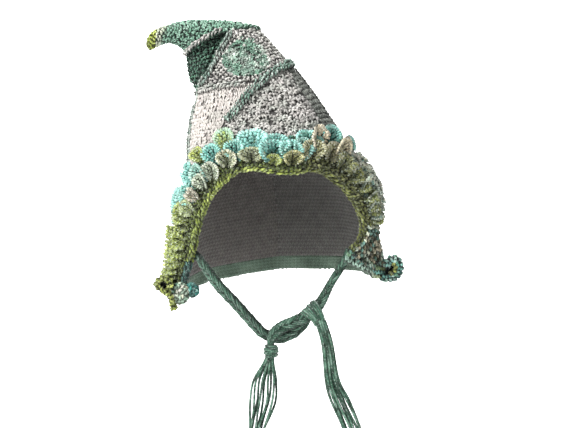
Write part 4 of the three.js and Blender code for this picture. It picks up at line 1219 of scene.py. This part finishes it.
def scale_shape(name, posts, rim, fold, wave):
    """One scale in a unit box: arcs of small plump stitches round a hollow, and a rim of small loops.

    Fold raises its two sides into a valley, and wave ruffles its rim.
    """

    def edge(angle, share=1.0):
        narrow = 1 - 0.42 * smooth(abs(angle), 1.3, 2.8)
        return np.array([0.5 * math.sin(angle) * narrow * share, 0.5 + (0.02 + 0.48 * math.cos(angle)) * share])

    def hollow(x, y):
        x, y = np.asarray(x), np.asarray(y)
        reach = (x / 0.5) ** 2 + ((y - 0.42) / 0.58) ** 2
        cup = 0.34 * np.minimum(reach, 1.15) * smooth(y, 0.0, 0.3)
        valley = fold * np.abs(x) - 0.07 * np.exp(-(x / 0.07) ** 2) * (1 - smooth(y, 0.45, 0.8))
        return cup + valley + wave * reach * np.sin(7 * np.arctan2(x, y - 0.4))

    lobes, rim_share, lit = [], [], []
    plump = (23 / rim) ** 0.7

    def add(path, radius, rim_value, lit_value):
        made_lobe = lobe(path, radius, 5)
        lobes.append(made_lobe)
        rim_share.append(np.full(len(made_lobe[0]), np.clip(rim_value + rng.uniform(-0.35, 0.35), 0, 1)))
        height = made_lobe[0][:, 2] - np.mean([p[2] for p in path])
        lit.append(np.clip(lit_value + height * 5, 0, 1))

    for arc, (reach, share, lit_value) in enumerate(SCALE_ARCS):
        count = int(round(posts * share))
        for k in range(count):
            angle = ((k + 0.5 + 0.24 * (-1) ** arc) / count * 2 - 1) * 2.35 + 0.05 * math.sin(3.1 * k + arc)
            start = np.array([0.05 * np.sign(angle), 0.26 + 0.14 * math.cos(angle)])
            end = edge(angle, 0.9)
            path = []
            for f, rise in ((-0.15, -0.03), (-0.06, 0.035), (0.06, 0.05), (0.15, -0.03)):
                x, y = start + (end - start) * (reach + f)
                x += 0.025 * (-1) ** (k + arc) * (f > 0)
                path.append((x, y, hollow(x, y) + 0.03 + rise + 0.016 * math.sin(5.3 * k + 2 * arc)))
            add(path, 0.072 * plump, 0.1 + 0.1 * arc, lit_value)
    for k in range(rim):
        angle = ((k + 0.5) / rim * 2 - 1) * 2.6 + 0.02 * math.sin(7.7 * k)
        path = [(*edge(angle - 0.03, share), hollow(*edge(angle, share)) + rise + 0.012 * math.sin(4.3 * k))
                for share, rise in ((0.8, 0.0), (0.94, 0.07))]
        path += [(*edge(angle + 0.03, share), hollow(*edge(angle, share)) + rise)
                 for share, rise in ((1.06, 0.05), (1.04, -0.06))]
        add(path, 0.074 * plump, 0.85, 0.92)
    points, faces, uvs = combined(lobes)
    # a thin sheet under the posts closes the gaps between them
    rings, around = 6, 20
    angles = np.linspace(-np.pi, np.pi, around, endpoint=False)
    flat = np.array([edge(a, 0.03 + 0.93 * r / (rings - 1)) for r in range(rings) for a in angles])
    z = hollow(flat[:, 0], flat[:, 1])
    top = np.column_stack([flat, z + 0.012])
    low = np.column_stack([flat, z - 0.03])
    total = rings * around
    sheet = [tuple(range(around))[::-1], tuple(total + i for i in range(around))]
    for r in range(rings - 1):
        for c in range(around):
            a0, b0 = r * around + c, r * around + (c + 1) % around
            sheet.append((a0, b0, b0 + around, a0 + around))
            sheet.append((total + a0, total + a0 + around, total + b0 + around, total + b0))
    last = (rings - 1) * around
    for c in range(around):
        d = (c + 1) % around
        sheet.append((last + c, last + d, total + last + d, total + last + c))
    start = len(points)
    points = np.concatenate([points, top, low])
    faces = faces + [tuple(i + start for i in f) for f in sheet]
    uvs = np.concatenate([uvs * (1, 35), np.zeros((2 * total, 2))])
    part = np.concatenate(rim_share + [np.full(2 * total, 0.1)])
    shade = np.concatenate(lit + [np.full(total, 0.15), np.full(total, 0.5)])
    root = 1 - smooth(points[:, 1], 0.02, 0.34)
    return mesh_piece(name, points / MM, faces, uvs, [("rim", "FLOAT", part), ("shade", "FLOAT", shade),
                                                      ("root", "FLOAT", root)])


# An open scale, one folded along its middle, one with a ruffled rim, and one of coarser stitches
SCALE_SHAPES = [scale_shape("open_scale", 14, 23, 0.0, 0.0), scale_shape("folded_scale", 13, 22, 0.22, 0.0),
                scale_shape("ruffled_scale", 14, 23, 0.1, 0.05), scale_shape("coarse_scale", 9, 14, 0.2, 0.05)]


def scale_wool():
    """Wool whose colour goes from a darker root tint at a scale's root, which is painted shade in its hollow,
    through its own tint to its rim tint, which is partly painted highlight, with specks.
    """
    material = wool("scale_wool", FIBRES, 0.5, Plies=2.0, Mottle=1.6, Depth=0.86, Fleck=0.6)
    tree = material.node_tree
    pattern = next(n for n in tree.nodes if n.type == "GROUP")
    specks = math_node(tree, "MULTIPLY", math_node(tree, "SUBTRACT", noise(tree, 240), 0.5), 9)
    specks = math_node(tree, "MINIMUM", math_node(tree, "MAXIMUM", specks, 0), attribute(tree, "speck"))
    source = attribute(tree, "tint", "Color")
    for share, target in ((attribute(tree, "rim"), "rim_tint_and_highlight"), (attribute(tree, "root"), "root_shade_and_speck_tint"),
                          (specks, "root_shade_and_speck_tint")):
        source = mixed(tree, share, source, attribute(tree, target, "Color"))
    tree.links.new(source, pattern.inputs["Tint"])
    return material


SCALE_WOOL = scale_wool()

# The scales of each row. Each gives its root (distance along the face edge, width from it), its tip
# (the same, and
# its height above the cloth), its width, and the colours of its body and rim.
SCALES = {
    "outer": [
        (14, 6, 8, 31, 15, 25, "#93a142", "#b0bd58"), (33, 2, 26, 25, 17, 24, "#66722f", "#9aa64c"),
        (58, 8, 50, 41, 18, 31, "#9aa847", "#bcc866"), (84, 18, 80, 51, 17, 29, "#8c9a40", "#a9b556"),
        (116, 26, 110, 46, 14, 17, "#aedccd", "#cbeadf"), (142, 26, 130, 58, 16, 38, "#78c8ba", "#b5e8dc"),
        (176, 20, 178, 54, 12, 29, "#68bbad", "#a9e2d5"), (198, 34, 207, 55, 12, 28, "#a3b142", "#c6d06c"),
        (232, 26, 242, 53, 12, 33, "#9cac42", "#a9dccd"), (264, 14, 264, 45, 12, 43, "#7fccbe", "#b7e8dc"),
        (296, 16, 300, 43, 11, 34, "#74c2b4", "#a9e0d3"), (320, 6, 327, 35, 12, 34, "#76c4b6", "#a9e2d5"),
        (348, 14, 356, 47, 10, 38, "#6bbcae", "#a5dfd2"), (374, 30, 372, 60, 20, 31, "#58a99d", "#98d6c9"),
        (398, 34, 393, 62, 22, 29, "#55a499", "#8fcfc1"), (424, 28, 428, 54, 21, 30, "#5f9a8c", "#ddd2b8"),
        (440, 32, 446, 56, 22, 28, "#6a9f90", "#e2d6bc"), (458, 32, 460, 56, 24, 30, "#5b9285", "#d8c9b0"),
        (476, 14, 474, 40, 21, 30, "#6aa092", "#dcd6bf")],
    "middle": [
        (24, 2, 18, 28, 17, 25, "#8c9a3e", "#a8b552"), (66, 6, 64, 33, 13, 26, "#59652a", "#8b9742"),
        (98, 12, 96, 45, 17, 28, "#7f8e3c", "#a3b054"), (128, 4, 124, 34, 16, 30, "#7f8e3c", "#a9b658"),
        (158, 6, 156, 34, 15, 30, "#5fae9f", "#a0dccd"), (186, 4, 194, 34, 15, 30, "#6fae9c", "#b5dccb"),
        (212, 16, 225, 42, 15, 30, "#55aa9b", "#a0dfd1"), (242, 4, 248, 32, 16, 29, "#54ab9b", "#a6e2d4"),
        (292, 0, 290, 32, 16, 48, "#5cb0a0", "#a2dfd2"), (338, 4, 345, 36, 11, 29, "#63b8a9", "#b0e4d8"),
        (364, 18, 358, 52, 24, 30, "#cdbf9a", "#e4d6bd"), (388, 20, 384, 50, 28, 26, "#c3b890", "#dccfb2"),
        (408, 11, 414, 42, 18, 27, "#6a9788", "#e4d3c2"), (430, 9, 434, 40, 21, 30, "#6b9080", "#dcd2b4"),
        (450, 5, 453, 36, 22, 36, "#639486", "#e0d6ba"), (470, 1, 470, 30, 18, 29, "#6a8a78", "#d2ccae"),
        (486, 0, 484, 28, 16, 28, "#668a7c", "#c8c8ae")],
    "inner": [
        (40, 0, 37, 24, 15, 27, "#86933e", "#a5b350"), (54, 0, 53, 24, 14, 25, "#7d8a3a", "#98a648"),
        (70, 0, 71, 28, 14, 28, "#7d8a3a", "#9caa4a"), (88, 0, 87, 24, 15, 26, "#808c3c", "#a3b14e"),
        (112, 2, 115, 28, 15, 27, "#76803c", "#bccb68"), (136, 0, 141, 22, 15, 24, "#8d9a62", "#c5cf96"),
        (157, 0, 167, 19, 15, 27, "#b0a48c", "#e8dfcc"), (178, 0, 190, 20, 15, 23, "#93a183", "#d6dcc4"),
        (197, 0, 212, 22, 16, 26, "#8f9f82", "#e4e2ce"), (226, 1, 238, 23, 16, 28, "#828e60", "#e2ddc2"),
        (264, 0, 262, 21, 17, 36, "#90946e", "#d9dbaa"), (296, 0, 297, 16, 14, 22, "#9aa64c", "#b9c66a"),
        (322, 0, 324, 21, 17, 29, "#848842", "#d3cc98"), (354, 3, 358, 31, 17, 34, "#a3a264", "#d6d0aa"),
        (378, 7, 378, 35, 18, 31, "#a6a270", "#dcd3b0"), (398, 4, 402, 30, 16, 28, "#8c9250", "#b9b986"),
        (418, 2, 425, 28, 16, 30, "#8a9048", "#acae66"), (438, 0, 443, 25, 16, 28, "#848c44", "#a2a85c"),
        (456, 0, 460, 25, 16, 29, "#828a44", "#a8ba66"), (474, 0, 474, 24, 15, 28, "#858c48", "#a0a85c"),
        (490, 0, 487, 24, 14, 28, "#858d44", "#9da450")],
}
OLIVE_ROOT = "#7c8a3c"
DARK_SPECK = "#2f3a26"
TIP_RISE = 0.2          # how far a scale's rim rises over its root, as a share of its width
# Distances along the face edge: where the low left scales end, the arch starts and ends,
# and the speckled ones start
LOW_LEFT = 108
ARCH_START = 200
ARCH_END = 345
SPECKLED_FROM = 395


def scale_row(label, scales):
    """One row of scales: coarse ones low on the left, then open, folded and ruffled ones in turn."""
    numbers = np.array([scale[:6] for scale in scales], float)
    root_at, root_width, tip_at, tip_width, lift, width = numbers.T
    count = len(scales)
    root, _, _, root_normal = band_frame(root_at, root_width)
    root = root + root_normal * (BAND_LIFT + 1.2)
    tip, _, _, tip_normal = band_frame(tip_at, tip_width)
    tip = tip + tip_normal * (lift - TIP_RISE * width)[:, None]
    reach = np.linalg.norm(tip - root, axis=1, keepdims=True)
    forward = (tip - root) / reach
    outward = unit(root_normal + tip_normal + 0.34 * rng.standard_normal((count, 3)))
    outward = unit(outward - forward * np.sum(outward * forward, -1, keepdims=True))
    scale = np.column_stack([width * 1.08, reach[:, 0] * 1.05, np.minimum(width, 28)]) * MM
    body = np.array([colour(c[6]) for c in scales]) * rng.uniform(0.95, 1.2, (count, 1)) * (1.0, 1.02, 1.06)
    rim = np.array([colour(c[7]) for c in scales]) * rng.uniform(0.94, 1.06, (count, 1))
    dim = np.where((root_at > ARCH_END) & (label == "inner"), 0.72, 1.0)[:, None]
    dim = dim * np.where((root_at < ARCH_START) & (label == "outer"), 0.87, 1.0)[:, None]
    rim = (body * 0.25 + rim * 0.75) * dim
    body = body * dim
    grey = np.mean([body, rim], axis=(0, 2))[:, None]
    body, rim = body * 0.88 + grey * 0.12, rim * 0.95 + grey * 0.1
    leaf = {"outer": 0.04, "middle": 0.12, "inner": 0.4}[label]
    # painted shade: the root tint is the body darkened and mixed with a share of the root colour, so the hollow
    # at each scale's root reads dark
    root_shade_and_speck = body * (0.5 - 0.4 * leaf) + colour(OLIVE_ROOT) * leaf
    # the rims are made lighter, as painted highlight on their raised edges, more on the low left
    rim = rim * np.where(root_at < LOW_LEFT, 1.12, 1.04)[:, None]
    root_shade_and_speck = root_shade_and_speck * np.where(root_at < LOW_LEFT, 0.62, 0.7)[:, None]
    root_shade_and_speck = np.where((root_at > SPECKLED_FROM)[:, None], root_shade_and_speck * 0.3 + colour(DARK_SPECK) * 0.7, root_shade_and_speck)
    speck = np.where(root_at > SPECKLED_FROM, 0.85, {"outer": 0.2, "middle": 0.35, "inner": 0.9}[label])
    for kind, shape in enumerate(SCALE_SHAPES):
        pick = np.where(root_at < LOW_LEFT, 3, (np.arange(count) * 2 + len(label)) % 3) == kind
        spots = (root[pick], outward[pick], forward[pick], scale[pick], body[pick])
        tints = [("rim_tint_and_highlight", "FLOAT_COLOR", rim[pick]), ("root_shade_and_speck_tint", "FLOAT_COLOR", root_shade_and_speck[pick]),
                 ("speck", "FLOAT", speck[pick])]
        piece = stitched(f"scale_row_{label}_{kind + 1}", shape, spots, SCALE_WOOL, 0.04, 21, tints)
        belongs(piece, "scale_yarn")


def border_backing():
    """The strip of cloth that the scales are worked on."""
    distance, width = np.meshgrid(np.linspace(30, EDGE_LENGTH - 36, 150), np.linspace(1.5, 46, 12),
                                  indexing="ij")
    point, _, _, normal = band_frame(distance.ravel(), width.ravel())
    high = point + normal * (BAND_LIFT + 0.6)
    low = point + normal * 1.0
    points = np.concatenate([high, low])
    total = 150 * 12
    at = lambda r, c: r * 12 + c
    faces = []
    for r in range(149):
        for c in range(11):
            faces.append((at(r, c), at(r + 1, c), at(r + 1, c + 1), at(r, c + 1)))
            faces.append((total + at(r, c), total + at(r, c + 1),
                          total + at(r + 1, c + 1), total + at(r + 1, c)))
    rim = ([at(r, 0) for r in range(149)] + [at(149, c) for c in range(11)]
           + [at(149 - r, 11) for r in range(149)] + [at(0, 11 - c) for c in range(11)])
    for i, first in enumerate(rim):
        second = rim[(i + 1) % len(rim)]
        faces.append((first, total + first, total + second, second))
    uv = np.stack([distance.ravel() / STITCH, width.ravel() / ROW], -1)
    # painted shade: the strip under the scales is darkened so it reads dark between them
    tints = np.tile(colour("#7c8748") * 0.3, (2 * total, 1))
    return mesh_piece("border_backing_cloth", points, faces, np.concatenate([uv, uv]),
                      [("tint", "FLOAT_COLOR", tints)], CLOTH_WOOL)


# dark olive beside the face edge and low on the left: the yarn's own olive, darkened as painted shadow in the
# gap between the cord and the scales
EDGE_OLIVE_AND_SHADOW = ("#4f5a28", "#69763a", "#3b4520")
RIGHT_OLIVE = ("#5a6030", "#767b45", "#454a26", "#878a5a")
TEAL_GROUND = ("#3f7a6e", "#5a9384", "#5f6d38")


def backing_stitches():
    """Open rows of stitches on that strip, in the colours of the scales beside them, and darker beside the face
    edge and low on the left, partly as painted shadow in the gap by the cord.
    """
    distance, width = np.meshgrid(np.arange(24, EDGE_LENGTH - 9, 6.2), np.arange(-2, 48, 5.8), indexing="ij")
    distance = (distance + 3.1 * (np.round(width / 5.8) % 2)).ravel()
    width = width.ravel()
    point, _, away, normal = band_frame(distance, width)
    count = len(point)
    left = np.where((width < 16)[:, None] | (distance < 120)[:, None], palette_tints(EDGE_OLIVE_AND_SHADOW, count),
                    palette_tints(TEAL_GROUND, count))
    right = np.where((width < 26)[:, None], palette_tints(RIGHT_OLIVE, count), palette_tints(SPECKLED_AND_SHADED, count))
    tints = np.where((distance > 500)[:, None], palette_tints(SPECKLED_AND_SHADED, count, 0.1, 3),
                     np.where((distance > 345)[:, None], right, left))
    size = np.tile([7.4, 7.0, 7.0], (count, 1)) * MM
    turn, level = band_place(distance, width)[:2]
    above_hem = level > hem_level(turn) + 0.06
    spots = (point + normal * (BAND_LIFT + 0.2), normal, away, size)
    return panel_stitches("border_backing_stitches", "scale_yarn", spots, ROUGH, tints, above_hem)


belongs(border_backing(), "scale_yarn", "scale_border")
backing_stitches()
for label, scales in SCALES.items():
    scale_row(label, scales)


# Corded edge round the face: colours from the left corner over the arch to the right corner

EDGE_CORNER = ("#3d5f58", "#2c4641", "#5d857b")
# the left and right palettes are the yarn's own darker olive, darkened further as painted shade where the cord
# runs low on the sides
EDGE_LEFT = ("#6f7e33", "#9fae56", "#4a551f", "#859345")
EDGE_TOP = ("#8a9941", "#bcc970", "#556126", "#9dab4f")
EDGE_RIGHT = ("#5f662f", "#81874a", "#3f441c", "#6f763c")


def edge_cord():
    """The crocheted edge of the face opening: plaited rows of plump stitches over a core."""
    distance = np.linspace(19, EDGE_LENGTH - 10, 270)
    point, _, away, normal = band_frame(distance, np.zeros(270))
    line = point - away * (EDGING / 2 + 1.2) - normal * (WALL / 2)
    core = tube(line, 2.6, 8)
    # painted shade: the core under the cord's stitches is darkened so it reads dark between them
    tints = np.tile(colour("#4c5624") * 0.5, (270 * 8, 1))
    piece = mesh_piece("face_edge_core", core[0], core[1], core[2], [
        ("tint", "FLOAT_COLOR", tints), ("shade", "FLOAT", np.full(270 * 8, 0.4))], CORD_WOOL)
    belongs(piece, "lime_yarn", "face_edging")
    at = distances(line)
    count = int(at[-1] / 6.2)
    parts, tints = [], []
    for row, turn in enumerate((-40, 12, 64, 130)):
        wanted = (np.arange(count) + 0.5 + 0.5 * (row % 2)) / (count + 0.5) * at[-1]
        pick = lambda values: np.stack([np.interp(wanted, at, values[:, k]) for k in range(3)], -1)
        middle, out, inward = pick(line), unit(pick(normal)), -unit(pick(away))
        ahead = unit(np.gradient(middle, axis=0))
        radians = math.radians(turn)
        facing = out * math.cos(radians) + inward * math.sin(radians)
        up = np.cross(facing, ahead) * (-1 if row % 2 else 1)
        size = np.tile([8.6, 7.6, 7.6], (count, 1)) * MM
        parts.append(uneven(middle + facing * 1.5, facing, up, size, 12, 12, 0.5))
        row_tints = palette_tints(EDGE_RIGHT, count, 0.16, 2)
        for limit, palette in ((0.62, EDGE_TOP), (0.27, EDGE_LEFT), (0.08, EDGE_CORNER)):
            others = palette_tints(palette, count, 0.16, 2)
            row_tints = np.where((wanted / at[-1] < limit)[:, None], others, row_tints)
        tints.append(row_tints)
    spots = joined(parts, 4)
    belongs(stitched("face_edge_plait", ROPE_STITCH, (*spots, np.concatenate(tints)), STITCH_WOOL, 0.14, 41),
            "lime_yarn")


edge_cord()


# Curled corners

def curl(name, rows, thickness, depth, palette, slot, *nodes):
    """A strip of cloth that rolls round a hollow, covered in rough stitches outside it, over cloth darkened as
    painted shade.
    """
    path = curve_through(rows, 2.0)
    ahead = unit(np.gradient(path, axis=0))
    across = np.array([0.0, 1.0, 0.0])
    out = unit(np.cross(ahead, across))
    columns = 9
    grid = []
    for k in range(columns):
        share = k / (columns - 1) * 2 - 1
        swell = thickness / 2 * math.sqrt(max(1 - share ** 4, 0.02))
        line = path + across * share * depth / 2
        grid.append((line + out * swell, line - out * swell))
    loop = [g[0] for g in grid] + [g[1] for g in grid[::-1]]
    ring = len(loop)
    points = np.stack(loop, 1).reshape(-1, 3)
    faces = [(r * ring + c, r * ring + (c + 1) % ring, (r + 1) * ring + (c + 1) % ring, (r + 1) * ring + c)
             for r in range(len(path) - 1) for c in range(ring)]
    faces.append(tuple(range(ring))[::-1])
    faces.append(tuple((len(path) - 1) * ring + c for c in range(ring)))
    uv = np.stack(np.meshgrid(np.arange(ring) / 2.5, np.arange(len(path)) / 3), -1).reshape(-1, 2)
    # painted shade: the curl's cloth under its stitches is darkened nearly to black
    tints = np.tile(average(palette) * 0.12, (len(points), 1))
    cloth = mesh_piece(name + "_cloth", points, faces, uv, [("tint", "FLOAT_COLOR", tints)], CLOTH_WOOL)
    every = slice(1, None, 3)
    centre = path[len(path) // 2:].mean(axis=0)
    straight = np.arange(len(path))[every] < 0.42 * len(path)
    spots = []
    for sign in (1, -1):
        clear = straight | (np.sum(out[every] * sign * (path[every] - centre), axis=1) > 0)
        for k in (-1, 0, 1):
            base = path[every] + across * k * depth * 0.31 + out[every] * sign * (thickness / 2 - 1.4)
            spots.append((base[clear], (out[every] * sign)[clear], np.tile(across, (np.sum(clear), 1))))
    for share in (-0.27, 0.27):
        base = path[every] - across * (depth / 2 - 1.6) + out[every] * share * thickness
        spots.append((base, np.tile(-across, (len(base), 1)), ahead[every]))
    position, normal, up = (np.concatenate([s[i] for s in spots]) for i in range(3))
    size = np.tile([6.4, 6.2, 6.0], (len(position), 1)) * MM
    spots = uneven(position, normal, up, size, 35, 14, 0.5)
    stitch_tints = palette_tints(palette, len(position), 0.16, 2)
    stitches = stitched(name + "_stitches", BUMP_STITCH, (*spots, stitch_tints),
                        STITCH_WOOL, 0.15, 31)
    belongs(cloth, slot, *nodes)
    belongs(stitches, slot)


def puffed_scale(name, centre, radii, palette, slot):
    """A small scale that has curled into a ball, in rings of stitches."""
    centre, radii = np.array(centre, float), np.array(radii, float)
    directions = []
    for k, height in enumerate((-0.85, -0.5, -0.1, 0.3, 0.65, 0.92)):
        ring = math.sqrt(1 - height ** 2)
        count = max(int(round(2 * np.pi * ring * radii[0] / 6.0)), 4)
        angle = 2 * np.pi * (np.arange(count) + 0.5 * (k % 2)) / count
        directions.append(np.stack([np.cos(angle) * ring, np.full(count, -height), np.sin(angle) * ring], -1))
    directions = np.concatenate(directions)
    normal = unit(directions / radii)
    away = unit(np.cross(np.cross(directions, np.array([0.0, -1.0, 0.0])), directions) + 1e-6)
    size = np.tile([6.6, 7.4, 4.6], (len(directions), 1)) * MM
    spots = uneven(centre + directions * (radii - 1.8), normal, away, size, 40, 12, 0.4)
    tints = palette_tints(palette, len(directions), 0.15, 1)
    stitches = stitched(name + "_stitches", BUMP_STITCH, (*spots, tints), STITCH_WOOL, 0.12, 33)
    angle_u, angle_v = np.meshgrid(np.linspace(0, 2 * np.pi, 20, endpoint=False),
                                   np.linspace(0.08, np.pi - 0.08, 10))
    ball = np.stack([np.cos(angle_u) * np.sin(angle_v), np.sin(angle_u) * np.sin(angle_v), np.cos(angle_v)], -1)
    points = centre + ball.reshape(-1, 3) * (radii - 1.4)
    faces = [(r * 20 + c, (r + 1) * 20 + c, (r + 1) * 20 + (c + 1) % 20, r * 20 + (c + 1) % 20)
             for r in range(9) for c in range(20)]
    faces.append(tuple(range(20)))
    faces.append(tuple(180 + c for c in range(20))[::-1])
    uv = np.stack(np.meshgrid(np.arange(20) / 3, np.arange(10) / 2), -1).reshape(-1, 2)
    # painted shade: the ball's core under its stitches is darkened
    tints = np.tile(average(palette) * 0.6, (200, 1))
    core = mesh_piece(name + "_cloth", points, faces, uv, [("tint", "FLOAT_COLOR", tints)], CLOTH_WOOL)
    belongs(core, slot)
    belongs(stitches, slot)


OLIVE = ("#95a148", "#6f7b33", "#bcc66c", "#565f28")
MINT = ("#eeeedd", "#a8c4ac", "#557f6a", "#e6e2c8", "#4f7a66", "#c9d6c0")
TEAL = ("#3f8f84", "#234f4a", "#9ccfc4", "#1c3f3b")
HEM_CORNER = ("#4f9187", "#8cc6b8", "#2b5a54", "#c0dfd2", "#6a9a7a")
CORNER_CURL = 9                # thickness of the strips that curl at the corners
curl("left_corner_curl", [
    (-166, -63, -305), (-169, -64, -292), (-174, -65, -281), (-182, -66, -275), (-189.5, -66, -271),
    (-192, -67, -265), (-188, -67, -259.5), (-180, -67, -258), (-173.5, -66, -262), (-172, -66, -268)],
    6, 22, OLIVE, "scale_yarn", "corner_curl_left")
puffed_scale("left_corner_pale_scale", (-157.2, -60.9, -280.8), (14.4, 9.2, 17), MINT, "scale_yarn")
puffed_scale("left_corner_teal_scale", (-139, -58, -276), (11, 7, 11), TEAL, "scale_yarn")
curl("right_corner_curl", [
    (157, -24, -257), (170, -28, -259), (181, -32, -253), (185, -34, -242), (182, -35, -232),
    (174, -36, -228.5), (166.5, -37, -233), (165, -38, -241)],
    CORNER_CURL, 22, HEM_CORNER, "hem_yarn")
# dark fills inside the two curls: painted shadow in their hollows
hollow = tube([(173, -22, -252), (172.5, -22, -243), (174, -22, -234)], 9.5, 12)
belongs(mesh_piece("right_corner_hollow", *hollow, [
    ("tint", "FLOAT_COLOR", np.tile(colour("#1c302c") * 0.5, (36, 1))), ("shade", "FLOAT", np.full(36, 0.5))],
    CORD_WOOL), "hem_yarn")
hollow = tube([(-183, -58, -272), (-183, -58, -266), (-182, -58, -260)], 7, 12)
belongs(mesh_piece("left_corner_hollow", *hollow, [
    ("tint", "FLOAT_COLOR", np.tile(colour("#2a3014") * 0.5, (36, 1))), ("shade", "FLOAT", np.full(36, 0.5))],
    CORD_WOOL), "scale_yarn")
curl("right_corner_inner", [
    (169, -37, -252), (176, -37, -248), (177.5, -38, -240), (174, -38, -236)], 4, 14,
    ("#7d8440", "#a3a85c", "#4f5426"), "hem_yarn")


# Floor, backdrop and light

def stage_sweep():
    """A pale floor that curves up into a backdrop."""
    profile = [(-3.0, FLOOR), (BEND_START, FLOOR)]
    for a in np.linspace(0.1, math.pi / 2, 12):
        profile.append((BEND_START + BEND * math.sin(a), FLOOR + BEND * (1 - math.cos(a))))
    profile.append((BEND_START + BEND, 4.0))
    points = [(x, y, z) for y, z in profile for x in (-9.0, 9.0)]
    faces = [(2 * i, 2 * i + 1, 2 * i + 3, 2 * i + 2) for i in range(len(profile) - 1)]
    floor = mesh_piece("floor", np.array(points) / MM, faces)
    material = bpy.data.materials.new("pale_floor")
    material.use_nodes = True
    shader = material.node_tree.nodes["Principled BSDF"]
    shader.inputs["Base Color"].default_value = (0.93, 0.93, 0.93, 1)
    shader.inputs["Roughness"].default_value = 0.9
    shader.inputs["Specular IOR Level"].default_value = 0.1
    floor.data.materials.append(material)


def area_light(name, place, target, size, power):
    light = bpy.data.lights.new(name, "AREA")
    light.shape = "SQUARE"
    light.size = size
    light.energy = power
    lamp = bpy.data.objects.new(name, light)
    lamp.location = place
    lamp.rotation_euler = (Vector(target) - Vector(place)).to_track_quat("-Z", "Y").to_euler()
    bpy.context.scene.collection.objects.link(lamp)


stage_sweep()
area_light("key_light", (-1.5, -1.5, 1.3), (0, 0, -0.05), 0.5, 84)
area_light("fill_light", (1.9, -1.8, 0.3), (0, 0, -0.15), 1.6, 7)
area_light("top_light", (-0.2, 0.3, 1.9), (0, 0, 0), 0.9, 30)
area_light("backdrop_light", (0, 1.6, 1.8), (0, 3.1, 0.0), 2.0, 150)
world = bpy.data.worlds.new("studio")
world.use_nodes = True
world.node_tree.nodes["Background"].inputs["Color"].default_value = (1, 1, 1, 1)
world.node_tree.nodes["Background"].inputs["Strength"].default_value = 0.29
bpy.context.scene.world = world
bpy.context.scene.view_settings.view_transform = "Standard"

for shape in (V_STITCH, PLUMP_STITCH, BUMP_STITCH, CLUSTER_STITCH, ROPE_STITCH, *SCALE_SHAPES):
    bpy.data.objects.remove(shape)
